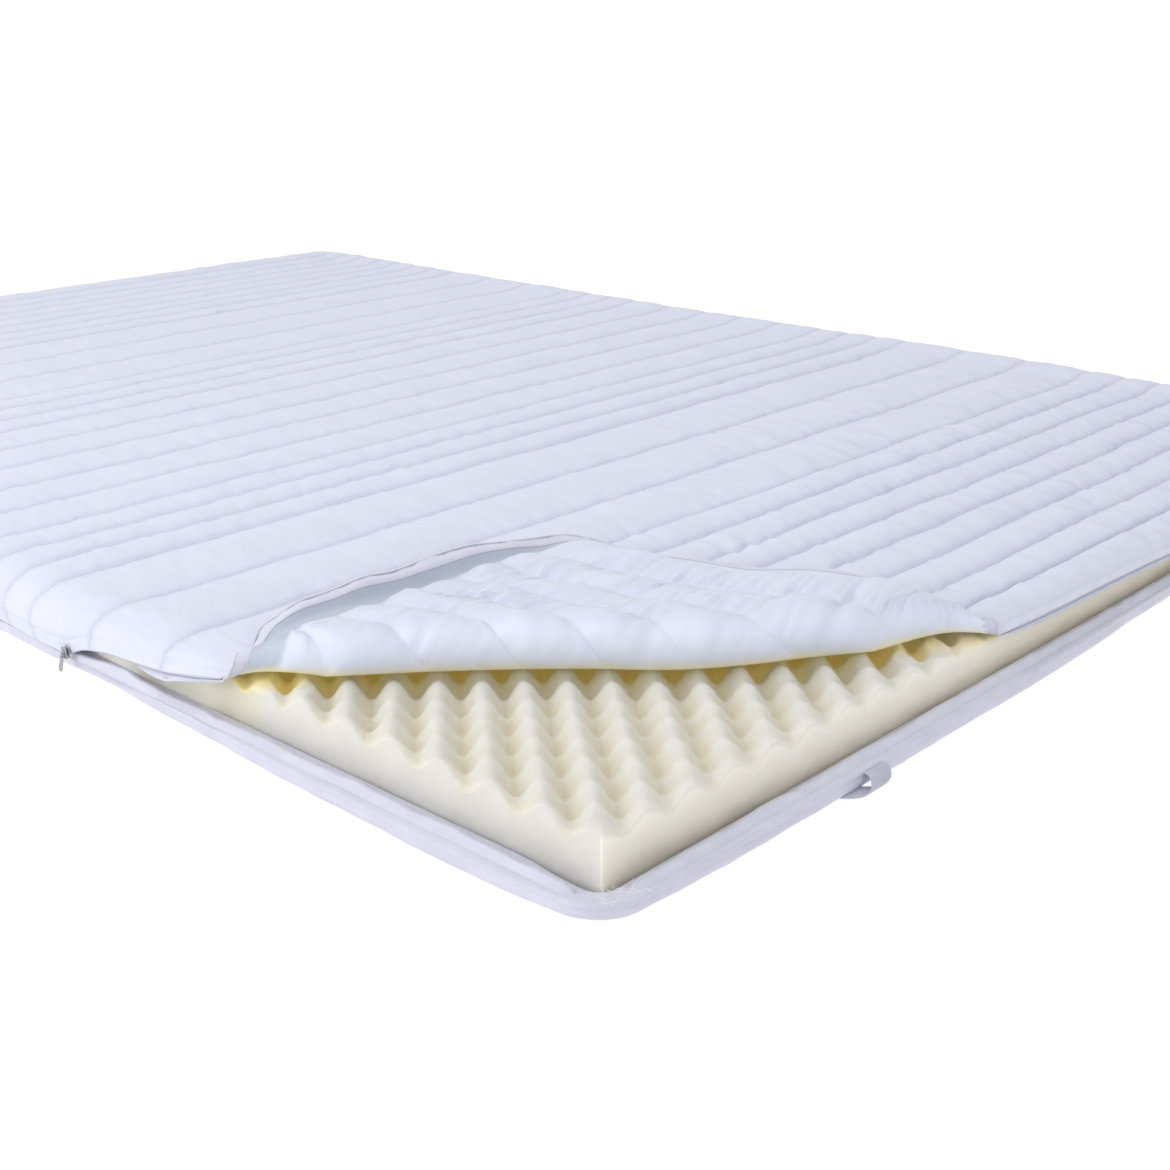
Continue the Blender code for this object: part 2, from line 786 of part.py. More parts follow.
def border_path():
    """Places and outward directions right round the lower panel."""
    low, right, far = BORDER_CORNER, WIDTH - BORDER_CORNER, LENGTH - BORDER_CORNER
    path = corner_stations(low, low, 180)
    path += [(x, 0.0, (0, -1)) for x in pitches(WIDTH)]
    path += corner_stations(right, low, 270)
    path += [(WIDTH, y, (1, 0)) for y in pitches(LENGTH)]
    path += corner_stations(right, far, 0)
    path += [(x, LENGTH, (0, 1)) for x in pitches(WIDTH)[::-1]]
    path += corner_stations(low, far, 90)
    return path + [(0.0, y, (-1, 0)) for y in pitches(LENGTH)[::-1]]


def border_point(x, y, out, inset, z):
    """A point of the border's section, moved with the side's uneven line."""
    shift = read(LEFT_SHIFT, y) if x < WIDTH / 2 else -read(RIGHT_SHIFT, y)
    fade = ease(abs(x - WIDTH / 2) / (WIDTH / 2 - 0.1))
    return x + shift * fade - out[0] * inset, y - out[1] * inset, z


def border_mesh():
    path = border_path()
    section = BORDER_OUTER + BORDER_INNER
    rings = [[border_point(x, y, out, inset, z) for x, y, out in path] for inset, z in section]
    return rings_solid(rings)


def zip_path():
    """Places along the open near corner: down the left side, round, and along the near side."""
    left = [(0.0, y, (-1, 0)) for y in pitches(ZIP_LEFT_END + BORDER_PITCH)[::-1]]
    near = [(x, 0.0, (0, -1)) for x in pitches(ZIP_RIGHT_END + BORDER_PITCH)]
    return left + corner_stations(BORDER_CORNER, BORDER_CORNER, 180) + near


def lower_tape_mesh():
    rings = [
        [border_point(x, y, out, inset, z) for inset, z in LOWER_TAPE]
        for x, y, out in zip_path()
    ]
    return rings_solid(rings)


def zip_closed(u, v, early):
    """1 where the zip is closed and its upper tape is drawn in behind the hem."""
    return ease(max((v - 0.50 + early) / 0.07, (u - 0.97 + early) / 0.10))


def tape_stations(edge_point, after, end):
    """Distances along a cut edge, fine where the tape turns with the fold, and their skew.

    A skewed station runs in from the edge along the fold's own direction.
    """
    turn = [fold_crossing(edge_point, FOLD_LENGTH * k / FOLD_STEPS) for k in range(FOLD_STEPS + 1)]
    start = NEAR_CORNER - EDGE
    before = [start + TAPE_PITCH * k for k in range(1, int((turn[-1] - start) / TAPE_PITCH))]
    places = before + turn[::-1] + [s for s in after if turn[0] + TAPE_PITCH / 2 < s <= end]
    stations = []
    for s in places:
        share = ease((s - 0.04) / 0.06) * (1 - ease((s - turn[0]) / 0.08))
        stations.append((s, share * fold_lean(*edge_point(s))))
    return stations


def upper_tape_path():
    """Places on the cut edge with the direction that runs in from the edge."""
    path = []
    for s, skew in tape_stations(left_edge, LEFT_LINES, ZIP_LEFT_END)[::-1]:
        path.append((*left_edge(s), (1, -skew)))
    centre = NEAR_CORNER - EDGE
    for k in range(CORNER_STEPS + 1):
        angle = math.radians(180 + 90 * k / CORNER_STEPS)
        out = (math.cos(angle), math.sin(angle))
        path.append((centre + NEAR_CORNER * out[0], centre + NEAR_CORNER * out[1], (-out[0], -out[1])))
    for s, skew in tape_stations(near_edge, (0.56, *NEAR_LINES), ZIP_RIGHT_END):
        path.append((*near_edge(s), (-skew, 1)))
    return path


def upper_tape_mesh():
    """The tape is laid out flat and split as the panel is, then carried into place with it."""
    rings = []
    for u, v, inward in upper_tape_path():
        tuck = TAPE_TUCK * zip_closed(u, v, 0.0)
        sink = TAPE_SINK * zip_closed(u, v, TAPE_SINK_EARLY)
        ring = []
        for inset, depth in UPPER_TAPE:
            step = inset + tuck
            ring.append((u + inward[0] * step, v + inward[1] * step, depth - sink))
        rings.append(ring)
    bm = rings_solid(rings)
    bm.normal_update()
    split_plainly(bm)
    for vert in bm.verts:
        vert.co = place(*vert.co)
    return bm


def plate_mesh(outline, thickness):
    """A plate in the YZ plane with its outer face at x = 0."""
    rings = [[(x, y, z) for y, z in outline] for x in (0.0, thickness)]
    return rings_solid(rings)


def slider_mesh():
    half, top = SLIDER_WIDE / 2, SLIDER_TALL / 2
    narrow = half * SLIDER_TAPER
    outline = [(-half, -top), (half, -top), (narrow, top), (-narrow, top)]
    return plate_mesh(outline, SLIDER_THICK)


def pull_mesh():
    right = [(y, -z) for y, z in PULL_OUTLINE]
    left = [(-y, -z) for y, z in PULL_OUTLINE[::-1]]
    return plate_mesh(right + left, PULL_THICK)


def band_mesh():
    """The elastic loop: a ribbon whose width runs along the border."""
    rings = []
    for k, (x, y, z) in enumerate(BAND):
        before, after = BAND[max(k - 1, 0)], BAND[min(k + 1, len(BAND) - 1)]
        run_y, run_z = after[1] - before[1], after[2] - before[2]
        size = math.hypot(run_y, run_z)
        normal_y = -run_z / size * BAND_THICK / 2
        normal_z = run_y / size * BAND_THICK / 2
        half = BAND_WIDTH / 2
        ring = [
            (x - half, y + normal_y, z + normal_z),
            (x + half, y + normal_y, z + normal_z),
            (x + half, y - normal_y, z - normal_z),
            (x - half, y - normal_y, z - normal_z),
        ]
        rings.append(ring)
    return rings_solid(rings)


def build():
    clear_scene()
    plan = bpy.data.objects.new("topper_plan", None)
    plan.location = (-WIDTH / 2, -LENGTH / 2, 0)
    bpy.context.scene.collection.objects.link(plan)
    cover = material("cover_cloth", (0.76, 0.76, 0.86), 0.85)
    lining = material("lining_cloth", (0.68, 0.72, 0.83), 0.6)
    foam = material("foam", (0.80, 0.79, 0.66), 0.9)
    tape = material("zip_tape", (0.74, 0.75, 0.84), 0.8)
    metal = material("zip_metal", (0.45, 0.45, 0.47), 0.35, 1.0)
    elastic = material("elastic", (0.62, 0.64, 0.74), 0.8)
    finish("foam_core", foam_mesh(), foam, plan)
    panel_mesh, lining_mesh = cover_meshes()
    finish("cover_top", panel_mesh, cover, plan)
    finish("cover_lining", lining_mesh, lining, plan)
    finish("cover_bottom", border_mesh(), cover, plan)
    finish("zip_tape_bottom", lower_tape_mesh(), tape, plan)
    finish("zip_tape_top", upper_tape_mesh(), tape, plan)
    finish("strap_loop", band_mesh(), elastic, plan)
    finish("zip_slider", slider_mesh(), metal, plan, (-0.0047, SLIDER_Y, 0.0205))
    pull = finish("zip_pull", pull_mesh(), metal, plan, (-0.0065, SLIDER_Y, 0.0185))
    pull.rotation_euler = (math.radians(PULL_LEAN), 0, 0)


build()
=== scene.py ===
import math

import bpy
import numpy as np
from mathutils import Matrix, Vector


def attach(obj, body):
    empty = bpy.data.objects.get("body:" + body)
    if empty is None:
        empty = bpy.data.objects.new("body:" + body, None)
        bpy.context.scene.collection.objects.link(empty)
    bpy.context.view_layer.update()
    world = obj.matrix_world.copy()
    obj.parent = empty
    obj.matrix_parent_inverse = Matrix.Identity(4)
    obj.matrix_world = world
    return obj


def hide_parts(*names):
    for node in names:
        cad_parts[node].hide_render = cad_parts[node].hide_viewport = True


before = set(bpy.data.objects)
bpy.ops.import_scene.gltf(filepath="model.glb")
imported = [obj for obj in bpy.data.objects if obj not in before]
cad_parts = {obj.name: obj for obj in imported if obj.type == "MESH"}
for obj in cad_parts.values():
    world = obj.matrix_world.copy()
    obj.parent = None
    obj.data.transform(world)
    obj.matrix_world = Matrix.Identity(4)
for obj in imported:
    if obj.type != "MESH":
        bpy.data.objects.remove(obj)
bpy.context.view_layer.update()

# ---------------------------------------------------------------- sizes, in metres

# The plan's zero is the near corner; the row frame's zero is under the middle
WIDTH = 1.40
LENGTH = 2.00
ORIGIN = np.array([WIDTH / 2, LENGTH / 2, 0.0])
# Heights above the floor
FOAM_TOP = 0.052
FOAM_VALLEY = 0.030
FOAM_BOTTOM = 0.0018
PANEL_BACK = 0.0536
# The quilted panel's thickness, and how far in from its cut edge the filling fades
CROWN_THICK = 0.0105
SEAM_THICK = 0.0026
RIM_THICK = 0.003
RIM_FADE = 0.022
RIM_BULGE = 0.0011

# Channels: how many of each width, from the near end to the far end
NARROW = 0.0485
WIDE = 0.0957
MIDDLE = (LENGTH - 22 * NARROW - 6 * WIDE) / 5
ZONES = [(8, NARROW), (3, WIDE), (3, NARROW), (5, MIDDLE), (3, NARROW), (3, WIDE), (8, NARROW)]

# Cloth turned down past the footprint, the width of the rolled sides, and the outline's corners
EDGE = 0.023
ROLL = 0.045
NEAR_CORNER = 0.040
FAR_CORNER = ROLL + EDGE
# Where the hem lies at a closed side, and the scale on which a raised flap's tilt fades
HEM_Z = 0.0138
HEM_INSET = 0.0030
TALL = 0.010

# Hem of the panel on the left long side: (y, hem's x, hem's z)
LEFT_HEM = [
    (0.36, 0.020, 0.0500),
    (0.40, 0.018, 0.0490),
    (0.44, 0.011, 0.0430),
    (0.48, 0.009, 0.0365),
    (0.52, 0.007, 0.0340),
    (0.555, 0.004, 0.0330),
    (0.590, 0.004, 0.0270),
    (0.615, 0.004, 0.0185),
    (0.66, 0.007, HEM_Z),
    (0.76, 0.011, HEM_Z),
    (0.92, 0.007, HEM_Z),
    (1.10, HEM_INSET, HEM_Z),
    (2.00, HEM_INSET, HEM_Z),
]
# Hem on the near short side: (x, hem's y, hem's z)
NEAR_HEM = [
    (0.46, 0.019, 0.0490),
    (0.52, 0.018, 0.0455),
    (0.60, 0.015, 0.0435),
    (0.70, 0.013, 0.0425),
    (0.80, 0.0110, 0.0405),
    (0.90, 0.0075, 0.0370),
    (1.00, 0.0040, 0.0310),
    (1.10, HEM_INSET, 0.0220),
    (1.20, HEM_INSET, HEM_Z),
    (1.40, HEM_INSET, HEM_Z),
]
# Where the closed sides stand in or out of the footprint: (y, shift inwards)
LEFT_SHIFT = [(0.44, 0.0), (0.60, 0.001), (0.76, 0.0075), (0.92, 0.0035), (1.10, 0.0), (2.0, 0.0)]
RIGHT_SHIFT = [(0.0, 0.0), (0.25, -0.007), (0.60, -0.016), (1.00, -0.005), (1.30, 0.0), (2.0, 0.0)]

# The fold on the near corner's diagonal: (place across it, fold's distance from the corner along it,
# further reach of the flap, radius of the fold, how far the flap's hem sags)
FOLD = [
    (-0.42, 0.345, 0.000, 0.0050, 0.012),
    (-0.375, 0.346, 0.000, 0.0060, 0.012),
    (-0.33, 0.350, -0.002, 0.0090, 0.012),
    (-0.29, 0.345, 0.000, 0.0130, 0.010),
    (-0.26, 0.337, 0.010, 0.0155, 0.003),
    (-0.23, 0.329, 0.018, 0.0170, 0.000),
    (-0.18, 0.320, 0.006, 0.0190, 0.000),
    (-0.13, 0.307, -0.004, 0.0190, 0.000),
    (-0.07, 0.299, -0.012, 0.0190, 0.000),
    (0.00, 0.304, -0.034, 0.0190, 0.000),
    (0.06, 0.305, -0.036, 0.0190, 0.000),
    (0.12, 0.303, -0.028, 0.0190, 0.000),
    (0.18, 0.298, -0.014, 0.0180, 0.000),
    (0.22, 0.294, -0.004, 0.0165, 0.004),
    (0.25, 0.291, 0.000, 0.0140, 0.010),
    (0.28, 0.287, 0.000, 0.0105, 0.013),
    (0.31, 0.275, 0.000, 0.0070, 0.013),
    (0.34, 0.262, 0.000, 0.0050, 0.012),
]
SAG_REACH = 0.045
# How far the fold's left end is drawn along the fold
END_DRAW = 0.010
PANEL_MID = CROWN_THICK / 2
# How the flap comes down past the fold: (distance, share of the way), to its height at rest
FLAP_SINK = [(0.0, 0.0), (0.035, 0.32), (0.080, 0.78), (0.135, 1.0), (1.0, 1.0)]
FLAP_REST = 2 * CROWN_THICK + 0.002
FLAP_REACH = 0.25

# The foam slab's sides stand back from the footprint: (x, inset of the near side)
FOAM_INSET = 0.028
FOAM_FRONT = [(0.0, 0.027), (0.5, 0.024), (1.2, 0.024), (1.4, 0.028)]
# Egg-crate: its periods, the weight of the wave along the saddles, and how full the crests are
CRATE_X = 0.045
CRATE_Y = 0.050
CRATE_ALONG = 0.13
CREST = 1.25
# Share of the relief that is left at the left and the near cut edge
CUT_LEFT = 0.68
CUT_NEAR = 0.48
# Strength of the painted warm shade at the near side's foot, and the share of the near side's painted
# lightening that the left side gets
FOOT_SHADE = 0.5
LEFT_PAINTED_LIGHT = 0.45
# Room between the foam and the closed cover
CLEARANCE = 0.0045
# Shares of the cut sides' height at which they have a ring of points
WALL_LEVELS = (0.93, 0.8, 0.6, 0.4, 0.2, 0.05, 0.0)
# A place this near to a cut side counts as on it
ON_SIDE = 0.001

# The border's rounded corners, and the zip's ends: y on the left side, x on the near side
BORDER_CORNER = 0.038
ZIP_LEFT_END = 0.70
ZIP_RIGHT_END = 1.30
# The upper tape is tucked in by this where the zip is closed, and hangs out beside the fold
TAPE_TUCK = 0.0155
TAPE_HANG = 1.5
# The lower tape leans in and sinks round the open corner
TAPE_LEAN = 0.0058
TAPE_SINK = 0.0018
TAPE_FOOT = 0.0108
TAPE_TOP = 0.0206
# The coil's teeth: their pitch, and each half's (length, width, height)
TOOTH_PITCH = 0.0015
LOWER_TOOTH = (0.0011, 0.0026, 0.0022)
UPPER_TOOTH = (0.0011, 0.0022, 0.0014)
THREAD_HALF = 0.00016
# Where the slider's front plate has its middle, and the pull its upper end
SLIDER_Y = 0.612
SLIDER = (-0.0047, SLIDER_Y, 0.0205)
PULL = (-0.0068, SLIDER_Y, 0.0172)
PULL_LEAN = math.radians(22)

# Share of the quilting's depth that is left far away, on the left and where the sides roll down
FAR_SLACK = 0.55
LEFT_SLACK = 0.80
SIDE_SLACK = 0.15
# Filling of the far and right sides' roll: outwards, outwards near the corner, and thicker
SIDE_OUT = 0.007
SIDE_WAVE = 0.009
SIDE_FULL = 0.009
# Relief of the cloth: at the panel's seams, and on the lining
PUCKER = 0.0021
SEAM_STRAY = 0.0017
LINING_PUFF = 0.0068
LINING_PUCKER = 0.0028
LINING_START = 0.023
LINING_EDGE = 0.0085
# Relief of the loose flap: its curled hem, its drooping hem and its raised right end
CURL = 0.0090
HEM_DROOP = 0.0070
RIGHT_LIFT = 0.003


# ---------------------------------------------------------------- curves and noise


def read(table, place, column=1):
    """A table's column at many places, on a smooth curve through its rows."""
    xs = np.array([row[0] for row in table])
    ys = np.array([row[column] for row in table])
    place = np.clip(place, xs[0], xs[-1])
    i = np.clip(np.searchsorted(xs, place, side="right") - 1, 0, len(xs) - 2)
    rows = np.arange(len(xs))
    before = np.maximum(rows - 1, 0)
    after = np.minimum(rows + 1, len(xs) - 1)
    slopes = (ys[after] - ys[before]) / (xs[after] - xs[before])
    span = xs[i + 1] - xs[i]
    f = (place - xs[i]) / span
    start = (1 + 2 * f) * (1 - f) ** 2 * ys[i] + f * (1 - f) ** 2 * span * slopes[i]
    end = f * f * (3 - 2 * f) * ys[i + 1] + f * f * (f - 1) * span * slopes[i + 1]
    return start + end


def ease(f):
    f = np.clip(f, 0.0, 1.0)
    return f * f * (3 - 2 * f)


def rise(x, start, span):
    """From 0 at the start to 1 a span further on."""
    return ease((x - start) / span)


def fall(x, start, span):
    return 1 - rise(x, start, span)


def bell(x, centre, width):
    return np.exp(-(((x - centre) / width) ** 2))


def waves(u, v, seed, short, long, count=18):
    """Smooth seeded noise over a plane, about -1 to 1, of wavelengths from short to long."""
    rng = np.random.default_rng(seed)
    total = np.zeros(np.broadcast(u, v).shape)
    for _ in range(count):
        size = 2 * math.pi / math.exp(rng.uniform(math.log(short), math.log(long)))
        turn = rng.uniform(0, 2 * math.pi)
        total += np.sin(size * (u * math.cos(turn) + v * math.sin(turn)) + rng.uniform(0, 6.3))
    return total / math.sqrt(count)


def ripple(x, seed, short, long, count=14):
    """Smooth seeded noise along a line."""
    return waves(x, 0.0 * x, seed, short, long, count)


# ---------------------------------------------------------------- quilting


def seam_places():
    lines = [0.0]
    for count, width in ZONES:
        for _ in range(count):
            lines.append(lines[-1] + width)
    lines[0] = -EDGE
    lines[-1] = LENGTH + EDGE
    return np.array(lines)


SEAMS = seam_places()


def channel(v):
    """Index of the channel at v, and the place across it from 0 to 1."""
    j = np.clip(np.searchsorted(SEAMS, v, side="right") - 1, 0, len(SEAMS) - 2)
    return j, np.clip((v - SEAMS[j]) / (SEAMS[j + 1] - SEAMS[j]), 0, 1)


def seam_noise(seed, short, long, pointed=False):
    """One run of noise along each seam, as a function of the seam's index and u."""
    spread = np.linspace(-0.1, WIDTH + 0.1, 1200)
    runs = np.array([ripple(spread, seed + k, short, long) for k in range(len(SEAMS))])
    if pointed:
        runs = 1.1 - 1.9 * np.sqrt(runs**2 + 0.01)

    def at(j, u):
        x = (u - spread[0]) / (spread[-1] - spread[0]) * (len(spread) - 1)
        k = np.clip(x.astype(int), 0, len(spread) - 2)
        f = x - k
        return runs[j, k] * (1 - f) + runs[j, k + 1] * f

    return at


def seam_distance(v):
    j, t = channel(v)
    return np.minimum(t, 1 - t) * (SEAMS[j + 1] - SEAMS[j])


def puckers(u, v, seed, reach, short=0.012, long=0.045, pointed=False):
    """Ripples that start at the seams and die out towards a channel's crown."""
    j, t = channel(v)
    width = SEAMS[j + 1] - SEAMS[j]
    at = seam_noise(seed, short, long, pointed)
    strength = seam_noise(seed + 500, 0.12, 0.5)

    def from_seam(k, share):
        return at(k, u) * np.exp(-share * width / reach) * (0.65 + 0.5 * strength(k, u))

    return (from_seam(j, t) + from_seam(j + 1, 1 - t)) * np.minimum(1, np.sin(math.pi * t) * 2.2)


def wander(u, v):
    """How far the seams stray from straight, shared out over the channels between them."""
    j, t = channel(v)
    at = seam_noise(900, 0.10, 0.60)
    inner = (j > 0) * (1 - t) * at(j, u) + (j < len(SEAMS) - 2) * t * at(j + 1, u)
    return SEAM_STRAY * inner


def past_corner(u, v):
    """The nearest corner's radius, and how far a flat place is past its centre: across, along."""
    corner = np.where((u < WIDTH / 2) & (v < LENGTH / 2), NEAR_CORNER, FAR_CORNER)
    across = np.abs(u - WIDTH / 2) - (WIDTH / 2 + EDGE - corner)
    return corner, across, np.abs(v - LENGTH / 2) - (LENGTH / 2 + EDGE - corner)


def rim_distance(u, v):
    """Distance from a place on the flat panel to its cut edge."""
    corner, across, along = past_corner(u, v)
    outside = np.hypot(np.maximum(across, 0), np.maximum(along, 0))
    return corner - outside - np.minimum(np.maximum(across, along), 0)


def to_outline(u, v):
    """Draw a rectangle's corners in to the panel's rounded outline."""
    _, a, b = past_corner(u, v)
    inside = (a > 0) & (b > 0)
    scale = np.where(inside, np.maximum(a, b) / np.maximum(np.hypot(a, b), 1e-9), 1.0)
    draw_u = np.sign(u - WIDTH / 2) * a * (1 - scale) * inside
    draw_v = np.sign(v - LENGTH / 2) * b * (1 - scale) * inside
    return u - draw_u, v - draw_v


def slack(u, v):
    """How deep the quilting lies: less far away, on the left, and where the sides roll down."""
    far = FAR_SLACK + (1 - FAR_SLACK) * fall(v, 0.45, 0.75)
    left = LEFT_SLACK + (1 - LEFT_SLACK) * rise(u, 0.25, 0.6)
    side = np.minimum(u, WIDTH - u) + EDGE
    return far * left * (SIDE_SLACK + (1 - SIDE_SLACK) * rise(side, 0.01, 0.10))


def face_height(u, v, v_line):
    """The panel's outer face above its back: channels, puckers, hem seam and rim."""
    _, t = channel(v_line)
    puff = np.sin(math.pi * t) ** 0.62
    crown = CROWN_THICK + 0.0006 * waves(u, v, 11, 0.05, 0.30)
    loose = slack(u, v)
    height = crown - (crown - SEAM_THICK) * (1 - puff) * loose
    height += PUCKER * puckers(u, v_line, 40, 0.013) * loose
    height += 0.00035 * waves(u, v, 12, 0.012, 0.035)
    rim = rim_distance(u, v)
    height = RIM_THICK + (height - RIM_THICK) * ease(rim / RIM_FADE)
    gathers = 0.0005 * waves(u, v, 13, 0.010, 0.035) * bell(rim, 0.018, 0.008)
    hem_seam = 0.0011 * bell(rim, 0.0115, 0.0017)
    return height + gathers - hem_seam


# ---------------------------------------------------------------- fold and drape


def diagonal(u, v):
    return (u + v) / math.sqrt(2), (v - u) / math.sqrt(2)


def fold_depth(u, v):
    along, across = diagonal(u, v)
    return read(FOLD, across) - along


def fold_turn(u, v):
    """How far round the fold a place is, from 0 below it to 1 on the flap, and what lies past."""
    _, across = diagonal(u, v)
    middle = np.maximum(read(FOLD, across, 3) - PANEL_MID, 0.004)
    depth = fold_depth(u, v)
    return np.clip(depth / (math.pi * middle), 0, 1), np.maximum(depth - math.pi * middle, 0)


def squash(u, v):
    """Share of its thickness that the quilting keeps where the fold pinches it at its ends."""
    _, across = diagonal(u, v)
    room = np.minimum((read(FOLD, across, 3) - 0.0015) / 0.0125, 1.0)
    beside = ease(1 + fold_depth(u, v) / 0.03) * ease(1 - fold_turn(u, v)[1] / 0.04)
    return 1 - (1 - room) * beside


def lift(u, v):
    """How the loose flap stands up from where it would lie: curled hems and soft swells."""
    _, across = diagonal(u, v)
    over = fold_turn(u, v)[1]
    swell = 0.0022 * (1.2 + waves(u, v, 21, 0.09, 0.22)) * ease(over / 0.06)
    right = RIGHT_LIFT * bell(across, -0.20, 0.075) * np.exp(-(v + EDGE) / 0.07)
    inset = rim_distance(u, v)
    stretch = rise(across, 0.01, 0.06) * fall(across, 0.245, 0.05)
    wavy = 1 + 0.25 * ripple(across, 23, 0.04, 0.14)
    curl = CURL * wavy * stretch * fall(inset, 0.0085, 0.0115)
    droop = HEM_DROOP * (1 - ease((inset + 0.004) / 0.014)) * ease(0.3 - across / 0.06)
    droop = droop * ease(over / 0.03)
    return np.maximum(swell, 0) + right * ease(over / 0.05) + curl * ease(over / 0.012) - droop


def fold(u, v, w):
    """Carry places on the flat panel, w above its back, round the fold and onto the flap."""
    depth = fold_depth(u, v)
    along, across = diagonal(u, v)
    line = along + depth
    inner = read(FOLD, across, 3)
    w = w * squash(u, v)
    radius = inner - w
    turned, over = fold_turn(u, v)
    bent_along = line - radius * np.sin(math.pi * turned)
    bent_z = inner - radius * np.cos(math.pi * turned)
    flap_along = line + over + np.minimum(over / FLAP_REACH, 1) * read(FOLD, across, 2)
    sunk = np.interp(over, [row[0] for row in FLAP_SINK], [row[1] for row in FLAP_SINK])
    sag = read(FOLD, across, 4) * (1 - ease(rim_distance(u, v) / SAG_REACH)) * ease(over / 0.02)
    flap_z = inner * 2 - w - (inner * 2 - FLAP_REST) * sunk + lift(u, v) - sag
    past = turned >= 1
    new_along = np.where(past, flap_along, bent_along)
    new_z = np.where(past, flap_z, bent_z)
    x = (new_along - across) / math.sqrt(2)
    y = (new_along + across) / math.sqrt(2)
    flat = depth <= 0
    drawn = END_DRAW * bell(across, 0.285, 0.026) * ease(turned * 1.4)
    x, y = x + drawn / math.sqrt(2), y - drawn / math.sqrt(2)
    return np.where(flat, u, x), np.where(flat, v, y), np.where(flat, w, new_z)


def core_lines(x, y):
    """Where the flat middle of the cover ends: left, near, right and far."""
    low_x = read(LEFT_HEM, y) + ROLL
    low_y = read(NEAR_HEM, x) + ROLL
    high_x = WIDTH - read(RIGHT_SHIFT, y) - ROLL - HEM_INSET
    return low_x, low_y, high_x, LENGTH - ROLL - HEM_INSET


def side_bow(drop):
    """How far out a rolled side stands before it comes down."""
    return np.minimum(0.2 + drop / 0.045, 1.0)


def side_curve(s, drop):
    """A rolled side's section at share s of its width: out, down, and the slope of both."""
    bow = side_bow(drop)
    t = np.minimum(s, 1.0)
    slope_out = 2 * ROLL * ((1 - 2 * t) * bow + t)
    slope_down = 2 * drop * t
    out = ROLL * (2 * t * (1 - t) * bow + t * t) + slope_out * (s - t)
    return out, drop * t * t + slope_down * (s - t), slope_out, slope_down


def side_share(out, drop):
    """The share s at which a rolled side has come so far out."""
    bow = side_bow(drop)
    bend = np.where(np.abs(1 - 2 * bow) < 1e-6, 1e-6, 1 - 2 * bow)
    return (np.sqrt(np.maximum(bow * bow + bend * out / ROLL, 0)) - bow) / bend


def drape(x, y, height):
    """Bend the cover down over the foam's sides. Height is measured above the foam."""
    low_x, low_y, high_x, high_y = core_lines(x, y)
    core_x = np.clip(x, low_x, high_x)
    core_y = np.clip(y, low_y, high_y)
    past_x, past_y = x - core_x, y - core_y
    past = np.hypot(past_x, past_y)
    safe = np.maximum(past, 1e-9)
    span_x = np.where(past_x < 0, low_x + EDGE, WIDTH + EDGE - high_x)
    span_y = np.where(past_y < 0, low_y + EDGE, LENGTH + EDGE - high_y)
    hem_x = np.where(past_x < 0, read(LEFT_HEM, y, 2), HEM_Z)
    hem_y = np.where(past_y < 0, read(NEAR_HEM, x, 2), HEM_Z)
    share = (past_x / safe) ** 2
    s = past / (share * span_x + (1 - share) * span_y)
    drop = PANEL_BACK - (share * hem_x + (1 - share) * hem_y)
    out, down, slope_out, slope_down = side_curve(s, drop)
    tilt = np.arctan2(slope_down, slope_out)
    tilt = tilt / (1 + np.maximum(height - CROWN_THICK, 0) / TALL)
    away = share * (past_x > 0) + (1 - share) * (past_y > 0)
    out = out + away * ease(s / 0.5) * (SIDE_OUT + SIDE_WAVE * bell(y, 0.50, 0.28))
    height = height + away * SIDE_FULL * np.sin(math.pi * np.clip(s, 0, 1))
    out = out + height * np.sin(tilt)
    z = PANEL_BACK - down + height * np.cos(tilt)
    flat = past < 1e-9
    return (
        np.where(flat, x, core_x + past_x / safe * out),
        np.where(flat, y, core_y + past_y / safe * out),
        np.where(flat, PANEL_BACK + height, z),
    )


def place(u, v, w):
    """Places on the flat panel, w above its back, in the row frame."""
    x, y, z = drape(*fold(u, v, w))
    return np.stack([x, y, z], axis=-1) - ORIGIN


# ---------------------------------------------------------------- meshes


def grid_quads(rows, columns, start=0, keep=None, turned=False, wrap=False):
    """Quads of a grid of points, row by row."""
    last = columns if wrap else columns - 1
    r, c = np.meshgrid(np.arange(rows - 1), np.arange(last), indexing="ij")
    n = (c + 1) % columns
    quads = np.stack([r * columns + c, r * columns + n, (r + 1) * columns + n, (r + 1) * columns + c], -1)
    if turned:
        quads = quads[..., ::-1]
    quads = quads.reshape(-1, 4) if keep is None else quads[keep]
    return quads + start


def ring_quads(upper, lower):
    """Quads between two closed loops of point indices."""
    return np.stack([upper, lower, np.roll(lower, -1), np.roll(upper, -1)], -1)


def make_mesh(name, points, quads, material, uv=None, marks=None, faces=()):
    """A smooth mesh object from arrays, with its flat place as a UV map and named attributes."""
    quads = np.asarray(quads)
    used = np.unique(np.concatenate([quads.ravel(), *[np.array(f) for f in faces]]).astype(int))
    renumber = np.zeros(len(points), int)
    renumber[used] = np.arange(len(used))
    mesh = bpy.data.meshes.new(name)
    all_faces = renumber[quads].tolist() + [renumber[np.array(f)].tolist() for f in faces]
    mesh.from_pydata(np.asarray(points)[used].tolist(), [], all_faces)
    if uv is not None:
        layer = mesh.uv_layers.new(name="flat")
        corners = np.zeros(len(mesh.loops), int)
        mesh.loops.foreach_get("vertex_index", corners)
        layer.data.foreach_set("uv", np.asarray(uv, np.float32)[used][corners].ravel())
    for key, values in (marks or {}).items():
        attribute = mesh.attributes.new(key, "FLOAT", "POINT")
        attribute.data.foreach_set("value", np.asarray(values, np.float32).ravel()[used])
    mesh.shade_smooth()
    mesh.validate()
    mesh.materials.append(material)
    obj = bpy.data.objects.new(name, mesh)
    bpy.context.scene.collection.objects.link(obj)
    return obj


